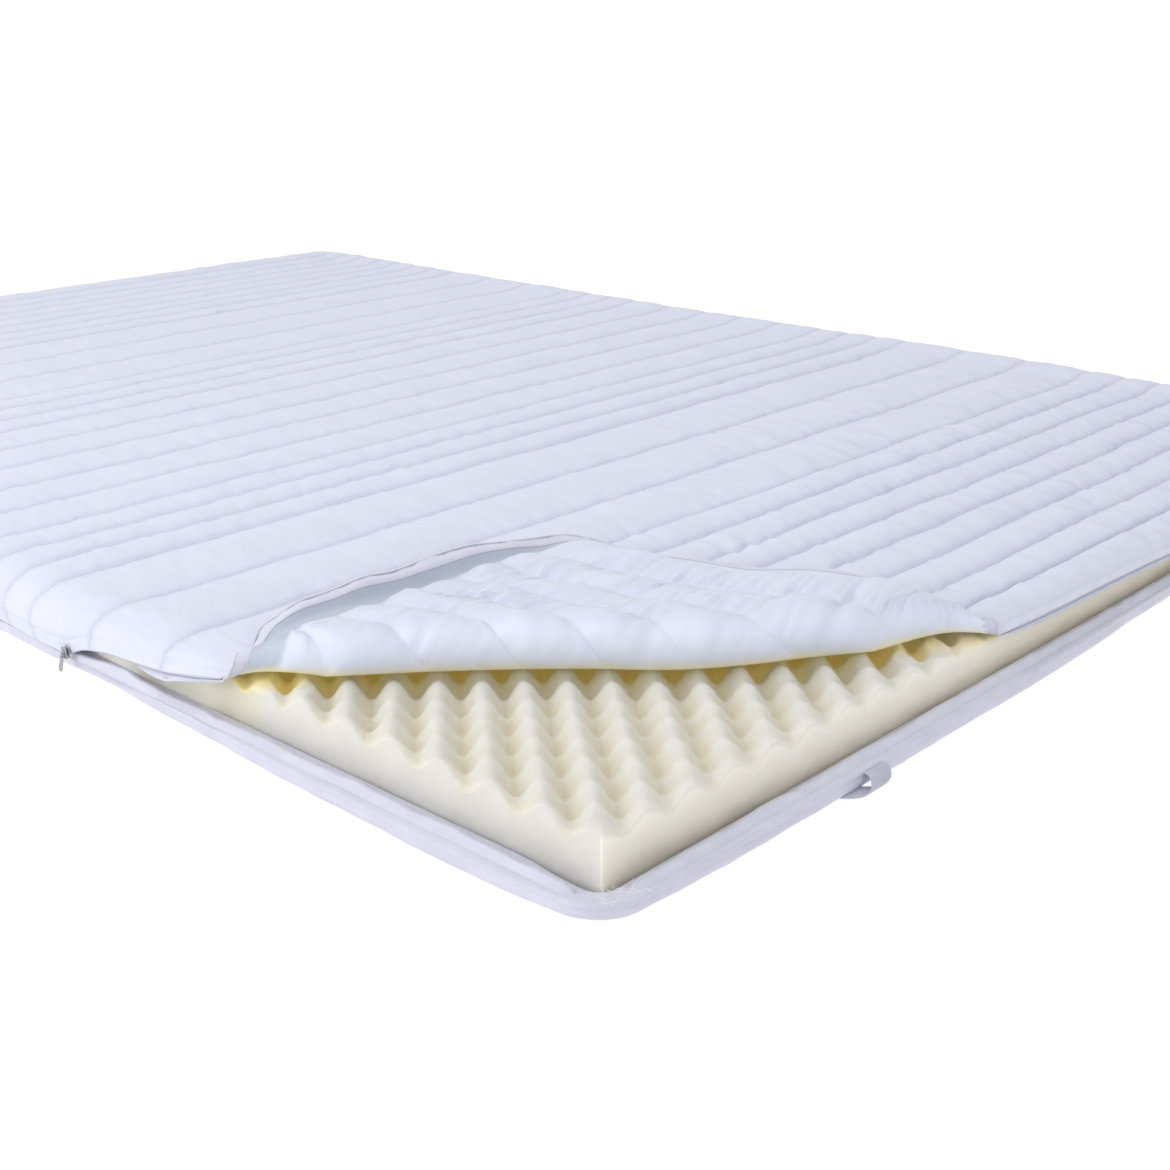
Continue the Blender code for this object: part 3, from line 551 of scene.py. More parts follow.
def crowded(low, high, count, crowd=0.55):
    """Places from low to high, closer together at both ends."""
    t = np.arange(count + 1) / count
    return low + (high - low) * (t - crowd * np.sin(2 * math.pi * t) / (2 * math.pi))


HEM_ROWS = np.array([0, 0.0012, 0.003, 0.005, 0.0075, 0.0093, 0.0105, 0.0115, 0.0125, 0.014, 0.0165, 0.020])


def across_lines(near_step, far_step, near_end):
    """Lines of constant v: the hems' rows, then each channel's, crowded towards its seams."""
    lines = [-EDGE + HEM_ROWS, LENGTH + EDGE - HEM_ROWS]
    for k, (low, high) in enumerate(zip(SEAMS, SEAMS[1:])):
        low = low + HEM_ROWS[-1] if k == 0 else low
        high = high - HEM_ROWS[-1] if k == len(SEAMS) - 2 else high
        step = near_step if low < near_end else far_step
        lines.append(crowded(low, high, max(5, round((high - low) / step))))
    return np.unique(np.round(np.concatenate(lines), 6))


def along_lines(near_step, far_step, near_end):
    """Lines of constant u: the hems' rows and an even pitch between, finer near the fold."""
    inner = np.linspace(-EDGE + HEM_ROWS[-1], near_end, round((near_end + 0.003) / near_step) + 1)
    far_side = WIDTH - 0.045
    middle = np.linspace(near_end, far_side, round((far_side - near_end) / far_step) + 1)
    side = np.linspace(far_side, WIDTH + EDGE - HEM_ROWS[-1], 9)
    lines = [-EDGE + HEM_ROWS, inner, middle, side, WIDTH + EDGE - HEM_ROWS]
    return np.unique(np.round(np.concatenate(lines), 6))


def flat_grid(u_lines, v_lines):
    """Flat places of a panel's grid: straight lines, then as drawn to the outline and the seams."""
    v_line, u_line = np.meshgrid(v_lines, u_lines, indexing="ij")
    u, v = to_outline(u_line, v_line)
    return u, v + wander(u, v_line) * ease(rim_distance(u, v) / 0.03), v_line


def middle_of(values):
    return (values[:-1, :-1] + values[1:, :-1] + values[:-1, 1:] + values[1:, 1:]) / 4


def rim_loop(rows, columns):
    """Indices of a grid's outer points, in order round it."""
    grid = np.arange(rows * columns).reshape(rows, columns)
    return np.concatenate([grid[0, :-1], grid[:-1, -1], grid[-1, :0:-1], grid[:0:-1, 0]])


def quilted_cover(material):
    u_lines = along_lines(near_step=0.0049, far_step=0.0116, near_end=0.62)
    v_lines = across_lines(near_step=0.0047, far_step=0.0070, near_end=0.58)
    u, v, v_line = flat_grid(u_lines, v_lines)
    rows, columns = u.shape
    count = rows * columns
    face = place(u, v, face_height(u, v, v_line)).reshape(-1, 3)
    back = place(u, v, 0 * u).reshape(-1, 3)
    loop = rim_loop(rows, columns)
    rim_u, rim_v = push_out(u.ravel()[loop], v.ravel()[loop], RIM_BULGE)
    rim = place(rim_u, rim_v, np.full(len(loop), RIM_THICK / 2))
    middle = 2 * count + np.arange(len(loop))
    # The back is left out where it lies hidden on the foam
    shown = (middle_of(fold_depth(u, v)) > -0.05) & (middle_of(u) < 0.62)
    strip = middle_of(rim_distance(u, v)) < 0.021
    quads = [
        grid_quads(rows, columns),
        grid_quads(rows, columns, count, keep=shown | strip, turned=True),
        ring_quads(loop, middle),
        ring_quads(middle, loop + count),
    ]
    # A distance from any seam that no shade or stitch reaches, for the cut edges and the back
    no_seam = 0.05
    j, t = channel(v_line)
    cut = ((j == 0) & (t < 0.5)) | ((j == len(SEAMS) - 2) & (t > 0.5))
    seam = np.where(cut, no_seam, seam_distance(v_line))
    busy = 0.25 + 0.75 * rise(u, 0.45, 0.40) * fall(v, 0.42, 0.30)
    others = count + len(loop)
    marks = {
        "seam": np.append(seam, np.full(others, no_seam)),
        "rim": np.append(rim_distance(u, v), np.zeros(others)),
        "busy": np.append(busy, np.zeros(others)),
    }
    flat = np.stack([u.ravel(), v.ravel()], -1)
    uv = np.concatenate([flat, flat, flat[loop]])
    points = np.concatenate([face, back, rim])
    return make_mesh("quilted_cover", points, np.concatenate(quads), material, uv, marks)


def push_out(u, v, distance):
    """Move places on the panel's edge straight out from it."""
    step = 0.001
    along_u = rim_distance(u - step, v) - rim_distance(u + step, v)
    along_v = rim_distance(u, v - step) - rim_distance(u, v + step)
    size = np.maximum(np.hypot(along_u, along_v), 1e-9)
    return u + along_u / size * distance, v + along_v / size * distance


def lining_start(u, v):
    """How far in from the hem the puffs start: later towards the fold's left end."""
    _, across = diagonal(u, v)
    return LINING_START + 0.016 * rise(across, 0.10, 0.10)


def lining_height(u, v, v_line):
    """The lining's place under the panel's back: channels puffed out on the folded corner."""
    j, t = channel(v_line)
    width = SEAMS[j + 1] - SEAMS[j]
    folded = ease((fold_turn(u, v)[0] - 0.12) / 0.55)
    inset = rim_distance(u, v) - lining_start(u, v)
    end = np.clip(inset / 0.014, 0, 1)
    scallop = np.sqrt(np.maximum(1 - (1 - end) ** 2, 0))
    swell = 1 + 0.30 * waves(u, v, 31, 0.06, 0.20) + 0.25 * (width > 0.06)
    puff = LINING_PUFF * np.sin(math.pi * t) ** 0.75 * scallop * swell
    crease = LINING_PUCKER * puckers(u, v_line, 60, 0.015, 0.012, 0.040, pointed=True) * scallop
    fine = 0.0005 * waves(u, v, 33, 0.010, 0.03) * scallop
    return -0.0006 - np.maximum(puff + crease + fine, 0) * folded


def puffed_lining(material):
    u_lines = along_lines(near_step=0.0031, far_step=0.060, near_end=0.60)
    v_lines = across_lines(near_step=0.0032, far_step=0.040, near_end=0.56)
    u_lines = u_lines[(u_lines > -EDGE + LINING_EDGE) & (u_lines < WIDTH + EDGE - LINING_EDGE)]
    v_lines = v_lines[(v_lines > -EDGE + LINING_EDGE) & (v_lines < LENGTH + EDGE - LINING_EDGE)]
    u, v, v_line = flat_grid(u_lines, v_lines)
    points = place(u, v, lining_height(u, v, v_line)).reshape(-1, 3)
    inset = rim_distance(u, v)
    # Left out: the cloth past its cut edge, and the hidden strip along the closed rolled sides
    hidden = (middle_of(fold_depth(u, v)) < -0.02) & (middle_of(inset) < 0.075)
    quads = grid_quads(*u.shape, keep=(middle_of(inset) > LINING_EDGE) & ~hidden, turned=True)
    _, across = diagonal(u, v)
    turned = fold_turn(u, v)[0]
    # Painted shade on the lining's band between the hem and the puffs
    strip = 1 - ease((inset - lining_start(u, v) + 0.001) / 0.006)
    marks = {
        "seam": seam_distance(v_line),
        "strip": strip * ease((across + 0.02) / 0.05),
        # Painted warm light thrown back by the foam, low on the fold's underside
        "painted_foam_bounce": fall(turned, 0.20, 0.26) * ease(turned / 0.02),
        # Painted glow on the roll of the fold
        "roll": ease(turned / 0.1) * fall(turned, 0.70, 0.28),
    }
    uv = np.stack([u.ravel(), v.ravel()], -1)
    return make_mesh("puffed_lining", points, quads, material, uv, marks)


# ---------------------------------------------------------------- foam


def crate_height(x, y):
    """Egg-crate: chequered peaks and hollows, with fuller saddles along one diagonal."""
    shift_x = 0.0008 * waves(x, y, 51, 0.10, 0.30)
    shift_y = 0.0008 * waves(x, y, 52, 0.10, 0.30)
    phase_x = 2 * math.pi * (x - FOAM_INSET + shift_x) / CRATE_X
    phase_y = 2 * math.pi * (y - FOAM_INSET + shift_y) / CRATE_Y
    along = CRATE_ALONG * np.cos(phase_x + phase_y)
    across = (0.5 - CRATE_ALONG) * np.cos(phase_x - phase_y)
    flat_left = (1 - CUT_LEFT) * fall(x, FOAM_INSET, 0.035)
    flat_near = (1 - CUT_NEAR) * fall(y, FOAM_INSET, 0.040)
    full = np.maximum(1 - flat_left - flat_near, 0.4)
    share = np.clip(0.5 + 0.4 * (1 - full) + (along + across) * full, 0, 1)
    return FOAM_VALLEY + (FOAM_TOP - FOAM_VALLEY) * (1 - (1 - share) ** CREST)


def foam_limit(x, y):
    """The foam's greatest height under the cover."""
    low_x, low_y, high_x, high_y = core_lines(x, y)
    past_x = np.maximum(low_x - x, x - high_x)
    past_y = np.maximum(low_y - y, y - high_y)
    outside = np.hypot(np.maximum(past_x, 0), np.maximum(past_y, 0))
    past = np.where(outside > 0, outside, np.maximum(past_x, past_y))
    hem_x = np.where(low_x > x, read(LEFT_HEM, y, 2), HEM_Z)
    hem_z = np.where(low_y - y >= np.maximum(past_x, 0), read(NEAR_HEM, x, 2), hem_x)
    share = side_share(np.minimum(outside, ROLL), PANEL_BACK - hem_z)
    drop = side_curve(share, PANEL_BACK - hem_z)[1]
    clearance = CLEARANCE * ease((past + 0.012) / 0.03)
    bare = ease((fold_depth(x, y) - 0.004) / 0.03)
    return FOAM_TOP - (drop + clearance) * (1 - bare)


def foam_lines(period, low, high, near_end, near_cells, far_cells):
    """Even fractions of the egg-crate's period, with two close lines at each cut edge."""
    near = low + period / near_cells * np.arange(round((near_end - low) / period) * near_cells + 1)
    far = np.linspace(near[-1], high, round((high - near[-1]) / period * far_cells) + 1)
    edges = [low + 0.0006, low + 0.002, high - 0.002, high - 0.0006]
    lines = np.unique(np.round(np.concatenate([near, far, edges]), 6))
    keep = np.append(np.diff(lines) > 0.0004, True)
    return lines[keep]


def foam_walls(base):
    """Rings of points down the cut sides from the top's outer loop, a little uneven."""
    centre = np.array([WIDTH / 2, LENGTH / 2])
    out = np.sign(base[:, :2] - centre) * (np.abs(base[:, :2] - centre) > centre - 0.03)
    run = base[:, 0] + base[:, 1]
    rings = []
    for level in WALL_LEVELS:
        ring = base.copy()
        ring[:, 2] = FOAM_BOTTOM + (base[:, 2] - FOAM_BOTTOM) * level
        swell = 0.0006 * waves(run, ring[:, 2] * 3, 54, 0.03, 0.2) * math.sin(math.pi * level)
        ring[:, :2] += out * swell[:, None]
        rings.append(ring)
    return rings


def foam_marks(x, y, depth, loop):
    """The marks that paint light and shade on the foam, on its top and then on each ring of its sides."""
    # Painted light under the fold: the foam there gets a warm ochre colour and a glow
    under = ease(-fold_depth(x, y) / 0.035 + 0.40)
    under = under * (1 - 0.55 * ease((np.abs(diagonal(x, y)[1]) - 0.24) / 0.07))
    # Painted glow on the foam beside the slider
    slot = rise(y, 0.42, 0.04) * fall(y, 0.60, 0.03) * fall(x, FOAM_INSET, 0.05)
    slot = slot * (1 + 1.3 * rise(y, 0.53, 0.05))
    # Painted light: the near side is coloured lighter, the left side partly so
    left = 1.0 * (x.ravel()[loop] < FOAM_INSET + ON_SIDE)
    near = np.maximum(1.0 * (y.ravel()[loop] < FOAM_INSET + ON_SIDE), LEFT_PAINTED_LIGHT * left)
    sides = {"deep": [], "under": [], "painted_foot_shade": [], "near": [], "slot": [], "rim": []}
    for level in WALL_LEVELS:
        # Painted warm light in the hollows, a little on the sides too
        sides["deep"].append(depth.ravel()[loop] * 0.10 * level)
        sides["under"].append(under.ravel()[loop] * 0.3)
        # Painted warm shade at the near side's foot, fading upwards
        sides["painted_foot_shade"].append(FOOT_SHADE * (near > 0.9) * (1 - level) ** 1.6)
        sides["near"].append(near)
        sides["slot"].append(slot.ravel()[loop])
        # Painted shade on the top of the left cut edge
        sides["rim"].append(left * (level > 0.9))
    tops = {"deep": np.clip(depth, 0, 1), "under": under, "slot": slot, "rim": x - FOAM_INSET < ON_SIDE}
    nowhere = np.zeros(x.size)
    return {key: np.concatenate([tops.get(key, nowhere).ravel(), *rings]) for key, rings in sides.items()}


def foam_block(material):
    low, right, far = FOAM_INSET, WIDTH - FOAM_INSET, LENGTH - FOAM_INSET
    x_lines = foam_lines(CRATE_X, low, right, near_end=0.61, near_cells=12, far_cells=6)
    y_lines = foam_lines(CRATE_Y, low, far, near_end=0.55, near_cells=12, far_cells=5)
    y, x = np.meshgrid(y_lines, x_lines, indexing="ij")
    edge = np.minimum(np.minimum(x - low, right - x), np.minimum(y - low, far - y))
    height = np.minimum(crate_height(x, y), foam_limit(x, y))
    height = height + 0.0003 * waves(x, y, 53, 0.01, 0.03)
    height = height - 0.0014 * (1 - np.clip(edge / 0.002, 0, 1)) ** 2
    front = y + (read(FOAM_FRONT, x) - FOAM_INSET) * fall(y, FOAM_INSET, 0.2)
    top = np.stack([x, front, height], -1).reshape(-1, 3)
    loop = rim_loop(*x.shape)
    points = np.concatenate([top, *foam_walls(top[loop])]) - ORIGIN
    quads = [grid_quads(*x.shape)]
    above = loop
    for k in range(len(WALL_LEVELS)):
        below = x.size + k * len(loop) + np.arange(len(loop))
        quads.append(ring_quads(above, below))
        above = below
    marks = foam_marks(x, y, (FOAM_TOP - height) / (FOAM_TOP - FOAM_VALLEY), loop)
    uv = points[:, :2] + points[:, 2:3] * 0.7
    return make_mesh("foam_block", points, np.concatenate(quads), material, uv, marks, [above[::-1]])


# ---------------------------------------------------------------- lower cover and zip


def border_path(pitch):
    """Places and outward directions round the footprint, from its far left corner on."""
    r = BORDER_CORNER
    right, far = WIDTH - r, LENGTH - r
    # Each side: its start and end, its outward direction, and the corner after it
    sides = [
        ((0, far), (0, r), (-1, 0), (r, r), 180),
        ((r, 0), (right, 0), (0, -1), (right, r), 270),
        ((WIDTH, r), (WIDTH, far), (1, 0), (right, far), 0),
        ((right, LENGTH), (r, LENGTH), (0, 1), (r, far), 90),
    ]
    path = []
    for a, b, out, centre, angle in sides:
        count = max(2, round(math.dist(a, b) / pitch))
        for k in range(count):
            f = k / count
            path.append((a[0] + (b[0] - a[0]) * f, a[1] + (b[1] - a[1]) * f, *out))
        count = max(4, round(r * math.pi / 2 / pitch))
        for k in range(count):
            turn = math.radians(angle + 90 * k / count)
            x, y = math.cos(turn), math.sin(turn)
            path.append((centre[0] + r * x, centre[1] + r * y, x, y))
    return np.array(path)


def open_path(pitch):
    """The part of the border along the open corner."""
    path = border_path(pitch)
    return path[(path[:, 0] < ZIP_RIGHT_END) & (path[:, 1] < ZIP_LEFT_END)]


def side_shift(x, y):
    shift = np.where(x < WIDTH / 2, read(LEFT_SHIFT, y), -read(RIGHT_SHIFT, y))
    return shift * ease(np.abs(x - WIDTH / 2) / (WIDTH / 2 - 0.1))


def run_along(path):
    """Distance along a path, seen from above."""
    steps = np.hypot(*np.diff(path[:, :2], axis=0).T)
    return np.concatenate([[0], np.cumsum(steps)])


def strip_uv(run, rows, pitch):
    """Flat places of a strip: along its run, and row by row across it."""
    return np.concatenate([np.stack([run, np.full(len(run), pitch * k)], -1) for k in range(rows)])


def border_points(path, inset, z):
    """Points of a section (inset, z per station) carried along the border."""
    x = path[:, 0] + side_shift(path[:, 0], path[:, 1]) - path[:, 2] * inset
    return np.stack([x, path[:, 1] - path[:, 3] * inset, z + 0 * x], -1) - ORIGIN


# Section of the lower panel's border, outside then inside: (inset, height, how much it wanders)
BORDER = [
    (0.0100, 0.0, 0.0),
    (0.0058, 0.0001, 0.1),
    (0.0034, 0.0007, 0.4),
    (0.0015, 0.0020, 0.8),
    (0.0004, 0.0038, 1.0),
    (0.0001, 0.0056, 1.0),
    (0.0004, 0.0074, 0.8),
    (0.0010, 0.0086, 0.6),
    (0.0006, 0.0098, 0.6),
    (0.0004, 0.0112, 0.8),
    (0.0010, 0.0122, 0.8),
    (0.0022, 0.0126, 0.6),
    (0.0036, 0.0126, 0.4),
    (0.0060, 0.0118, 0.3),
    (0.0100, 0.0116, 0.5),
    (0.0150, 0.0112, 0.6),
    (0.0196, 0.0106, 0.4),
    (0.0222, 0.0096, 0.2),
    (0.0234, 0.0080, 0.1),
    (0.0236, 0.0015, 0.0),
]
# How much further in the border's cloth reaches on the left, where the foam stands back more
LEFT_REACH = 0.0040
# How far the border's foot stands out of the footprint: (distance from the corner, outwards).
# The section's rows up to the last outer one follow it, less so towards the border's height
LEFT_FLARE = [
    (0.020, 0.0),
    (0.045, 0.0023),
    (0.085, 0.0065),
    (0.130, 0.0073),
    (0.180, 0.0073),
    (0.230, 0.0054),
    (0.285, 0.0052),
    (0.345, 0.0030),
    (0.410, 0.0),
    (0.480, -0.0020),
    (0.560, -0.0080),
    (0.640, -0.0040),
    (0.750, 0.0),
]
NEAR_FLARE = [
    (0.040, 0.0),
    (0.082, 0.0030),
    (0.130, 0.0044),
    (0.190, 0.0050),
    (0.240, 0.0058),
    (0.370, 0.0073),
    (0.440, 0.0072),
    (0.520, 0.0082),
    (0.600, 0.0070),
    (0.710, 0.0024),
    (0.800, 0.0),
]
LAST_OUTER = 10
BORDER_HEIGHT = 0.013


def lower_cover(material):
    path = border_path(0.0065)
    size = len(path)
    run = run_along(path)
    drift = 0.0006 * ripple(run, 71, 0.03, 0.25)
    waver = 0.0005 * ripple(run, 72, 0.02, 0.12)
    on_left = (path[:, 2] < -0.9) * rise(path[:, 1], 0.05, 0.05)
    flare = np.maximum(-path[:, 2], 0) * read(LEFT_FLARE, path[:, 1])
    flare = flare + np.maximum(-path[:, 3], 0) * read(NEAR_FLARE, path[:, 0])
    rings = []
    for k, (inset, z, loose) in enumerate(BORDER):
        gather = 0.00025 * waves(run, run * 0 + k * 0.004, 73, 0.006, 0.02) * loose
        height = np.maximum(z + waver * loose * (z > 0.003), 0.0 if z < 0.001 else 0.0002)
        reach = LEFT_REACH * rise(inset, 0.006, 0.012) * on_left
        stand = flare * (1 - 0.5 * z / BORDER_HEIGHT) if k <= LAST_OUTER else 0.0
        rings.append(border_points(path, inset + reach - stand - (drift + gather) * loose, height))
    uv = strip_uv(run, len(BORDER), 0.004)
    uv[:size] = rings[0][:, :2]
    uv[-size:] = rings[-1][:, :2]
    ends = [np.arange(size), (len(BORDER) - 1) * size + np.arange(size)[::-1]]
    quads = grid_quads(len(BORDER), size, wrap=True)
    return make_mesh("lower_cover", np.concatenate(rings), quads, material, uv, faces=ends)


def tape_top(path):
    """Height of the lower tape's edge: it leans down round the corner and wavers elsewhere."""
    near = np.hypot(path[:, 0], path[:, 1])
    dip = 0.0062 * fall(near, 0.026, 0.022)
    beside = 0.0055 * bell(path[:, 1], 0.545, 0.034) * (path[:, 2] < -0.9)
    return TAPE_TOP - dip + beside + 0.0006 * ripple(run_along(path), 75, 0.03, 0.15)


def tape_laid(path):
    """How far the lower tape has sunk inwards: wholly round the corner, not where the zip is closed."""
    return fall(path[:, 1], 0.44, 0.12) * fall(path[:, 0], 0.95, 0.2)


def tape_lean(path):
    return 0.0009 * ripple(run_along(path), 76, 0.025, 0.15)


# Section of the lower tape: (inset, share of its height, how much it leans with the waver)
LOWER_TAPE_ROWS = [
    (0.0022, 0.0, 0.0),
    (0.0020, 0.25, 0.3),
    (0.0026, 0.55, 0.7),
    (0.0038, 0.9, 1.0),
    (0.0043, 1.0, 1.0),
    (0.0047, 0.97, 1.0),
    (0.0046, 0.6, 0.7),
    (0.0044, 0.0, 0.0),
]


def hose(rings, size, turned=False):
    """Quads and end faces of a tube whose section's points are carried along a path."""
    k, c = np.meshgrid(np.arange(rings), np.arange(size - 1), indexing="ij")
    n = (k + 1) % rings
    quads = np.stack([k * size + c, k * size + c + 1, n * size + c + 1, n * size + c], -1).reshape(-1, 4)
    ends = [np.arange(rings) * size, np.arange(rings)[::-1] * size + size - 1]
    return (quads[:, ::-1], [end[::-1] for end in ends]) if turned else (quads, ends)


def lower_tape(material):
    path = open_path(0.0045)
    laid = tape_laid(path)
    lean = tape_lean(path)
    top = tape_top(path)
    rings = []
    for inset, share, loose in LOWER_TAPE_ROWS:
        z = TAPE_FOOT + (top - 0.0022 - TAPE_SINK * laid - TAPE_FOOT) * share
        rings.append(border_points(path, inset + 0.0008 + TAPE_LEAN * laid * share - lean * loose, z))
    quads, ends = hose(len(rings), len(path))
    uv = strip_uv(run_along(path), len(rings), 0.003)
    return make_mesh("lower_zip_tape", np.concatenate(rings), quads, material, uv, faces=ends)


def brick(centre, along, up, size):
    """Eight corners of a brick with the given directions and sizes, narrower at its top."""
    side = np.cross(along, up)
    corners = []
    for c, draw in ((-1, 1.0), (1, 0.8)):
        for a, b in ((-1, -1), (1, -1), (1, 1), (-1, 1)):
            flat = along * a * size[0] / 2 * draw + side * b * size[1] / 2 * draw
            corners.append(centre + flat + up * c * size[2] / 2)
    return corners


BRICK_QUADS = np.array([(0, 3, 2, 1), (4, 5, 6, 7), (0, 1, 5, 4), (1, 2, 6, 5), (2, 3, 7, 6), (3, 0, 4, 7)])


def unit(vectors):
    return vectors / np.maximum(np.linalg.norm(vectors, axis=-1, keepdims=True), 1e-9)


def teeth(name, centres, ups, size, material):
    """Small coils of a zip: bricks at an even pitch along a line of points."""
    steps = np.linalg.norm(np.diff(centres, axis=0), axis=1)
    run = np.concatenate([[0], np.cumsum(steps)])
    places = np.arange(TOOTH_PITCH / 2, run[-1], TOOTH_PITCH)
    centre = np.stack([np.interp(places, run, centres[:, k]) for k in range(3)], -1)
    up = unit(np.stack([np.interp(places, run, ups[:, k]) for k in range(3)], -1))
    along = unit(np.gradient(centre, axis=0))
    up = unit(up - along * (along * up).sum(-1, keepdims=True))
    corners = np.array(brick(centre, along, up, size)).transpose(1, 0, 2).reshape(-1, 3)
    quads = (BRICK_QUADS[None] + 8 * np.arange(len(places))[:, None, None]).reshape(-1, 4)
    uv = np.repeat(np.stack([places, 0 * places], -1), 8, axis=0)
    return make_mesh(name, corners, quads, material, uv)


def lower_teeth(material):
    path = open_path(0.0045)
    laid = tape_laid(path)
    inset = 0.0072 + 0.85 * TAPE_LEAN * laid - tape_lean(path)
    centres = border_points(path, inset, tape_top(path) - 0.0036 - TAPE_SINK * laid)
    ups = np.tile([0.0, 0.0, 1.0], (len(path), 1))
    return teeth("lower_zip_teeth", centres, ups, LOWER_TOOTH, material)


def upper_edge(pitch):
    """Flat places along the panel's cut edge at the open corner, and the direction inwards."""
    r = NEAR_CORNER
    low = r - EDGE
    places = []
    count = round((ZIP_LEFT_END - low) / pitch)
    for k in range(count):
        places.append((-EDGE, ZIP_LEFT_END + (low - ZIP_LEFT_END) * k / count, 1.0, 0.0))
    count = round(r * math.pi / 2 / pitch)
    for k in range(count):
        turn = math.radians(180 + 90 * k / count)
        x, y = math.cos(turn), math.sin(turn)
        places.append((low + r * x, low + r * y, -x, -y))
    count = round((ZIP_RIGHT_END - low) / pitch)
    for k in range(count + 1):
        places.append((low + (ZIP_RIGHT_END - low) * k / count, -EDGE, 0.0, 1.0))
    return np.array(places)


def zip_closed(u, v, early=0.0):
    """Where the upper half of the zip is closed, or from a little before that."""
    return ease(np.maximum((v - 0.50 + early) / 0.07, (u - 0.97 + early) / 0.10))


# Section of the upper tape: (inset from the panel's cut edge, height above the panel's back)
UPPER_TAPE_ROWS = [
    (0.0120, -0.0007),
    (0.0117, -0.0012),
    (0.0080, -0.0016),
    (0.0040, -0.0019),
    (0.0, -0.0021),
    (-0.0034, -0.0021),
    (-0.0037, -0.0017),
    (-0.0034, -0.0013),
    (0.0, -0.0013),
    (0.0040, -0.0008),
    (0.0080, -0.0004),
]


def tape_reach(u, v):
    """How far the tape stands out: little round the fold's ends, more where it hangs beside it."""
    fold_end = np.maximum(bell(v, 0.412, 0.024) * (u < 0), bell(u, 0.497, 0.034) * (v < 0))
    hanging = bell(v, 0.478, 0.034) * (u < 0)
    return (1 + TAPE_HANG * hanging) * (1 - 0.95 * fold_end)


def tape_places(edge, inset, depth):
    """Row-frame points at an inset and depth along the panel's cut edge."""
    u, v = edge[:, 0], edge[:, 1]
    step = np.where(inset < 0, inset * tape_reach(u, v), inset) + TAPE_TUCK * zip_closed(u, v)
    sink = 0.0017 * zip_closed(u, v, 0.05)
    return place(u + edge[:, 2] * step, v + edge[:, 3] * step, depth - sink)


def upper_tape(material):
    edge = upper_edge(0.004)
    run = run_along(edge)
    waver = 0.0005 * ripple(run, 81, 0.015, 0.06)
    rings = [tape_places(edge, inset, depth + waver * (inset < 0.003)) for inset, depth in UPPER_TAPE_ROWS]
    quads, ends = hose(len(rings), len(edge), turned=True)
    uv = strip_uv(run, len(rings), 0.004)
    return make_mesh("upper_zip_tape", np.concatenate(rings), quads, material, uv, faces=ends)


def upper_teeth(material):
    edge = upper_edge(0.004)
    centres = tape_places(edge, -0.0024, -0.0028)
    above = tape_places(edge, -0.0024, -0.0068)
    return teeth("upper_zip_teeth", centres, above - centres, UPPER_TOOTH, material)


# ---------------------------------------------------------------- slider and loop


def plate(name, outline, thickness, bevel, location, material, lean=0.0):
    """A bevelled plate of an outline in the YZ plane, leaning about X."""
    count = len(outline)
    points = [(x, y, z) for x in (0.0, thickness) for y, z in outline]
    quads = [(k, (k + 1) % count, count + (k + 1) % count, count + k) for k in range(count)]
    faces = [list(range(count))[::-1], list(range(count, 2 * count))]
    obj = make_mesh(name, np.array(points), np.array(quads), material, faces=faces)
    rounding = obj.modifiers.new("rounding", "BEVEL")
    rounding.width = bevel
    rounding.segments = 3
    rounding.limit_method = "ANGLE"
    obj.location = Vector(location) - Vector(ORIGIN)
    obj.rotation_euler = (lean, 0, 0)
    return obj


def apply_all(obj):
    """Fix an object's modifiers and place into its mesh."""
    graph = bpy.context.evaluated_depsgraph_get()
    mesh = bpy.data.meshes.new_from_object(obj.evaluated_get(graph))
    mesh.transform(obj.matrix_world)
    obj.modifiers.clear()
    obj.data = mesh
    obj.matrix_world = obj.matrix_world.Identity(4)
    return obj


def joined(name, objects):
    """One object of several, each fixed in place first."""
    bpy.context.view_layer.update()
    for obj in objects:
        apply_all(obj)
    bpy.context.view_layer.update()
    with bpy.context.temp_override(active_object=objects[0], selected_editable_objects=objects):
        bpy.ops.object.join()
    objects[0].name = name
    objects[0].data.name = name
    return objects[0]


def ring_tube(name, centre, normal, thick, stretch, material):
    """A closed ring of round wire, stretched downwards."""
    around, sides, radius = 20, 8, 0.0017
    normal = unit(np.array(normal, float))
    across = unit(np.cross(normal, [0.0, 0.0, 1.0]))
    down = np.cross(normal, across)
    rows = []
    for k in range(around):
        a = 2 * math.pi * k / around
        out = across * math.cos(a) + down * math.sin(a) * stretch
        middle = np.array(centre) + out * radius
        for m in range(sides):
            b = 2 * math.pi * m / sides
            rows.append(middle + unit(out) * math.cos(b) * thick + normal * math.sin(b) * thick)
    points = np.array(rows + rows[:sides]) - ORIGIN
    return make_mesh(name, points, grid_quads(around + 1, sides, wrap=True), material)


def zip_slider(material):
    x, y, z = SLIDER
    half, top = 0.0042, 0.0050
    body = [(-half, -top), (half, -top), (half * 1.02, -top * 0.2)]
    body += [(half * 0.72, top), (-half * 0.72, top), (-half * 1.02, -top * 0.2)]
    post = [(-0.0009, -0.002), (0.0009, -0.002), (0.0009, 0.003), (-0.0009, 0.003)]
    # Each plate: outline, thickness, bevel, how far behind the front
    plates = {
        "slider_front": (body, 0.0013, 0.0005, 0.0),
        "slider_back": (body, 0.0013, 0.0005, 0.0029),
        "slider_post": (post, 0.003, 0.0002, 0.0006),
    }
    pieces = []
    for name, (outline, thickness, bevel, behind) in plates.items():
        pieces.append(plate(name, outline, thickness, bevel, (x + behind, y, z), material))
    pieces.append(ring_tube("slider_bridge", (x - 0.0002, y, z + 0.0002), (0, 1, 0), 0.0005, 1.7, material))
    return joined("zip_slider_body", pieces)


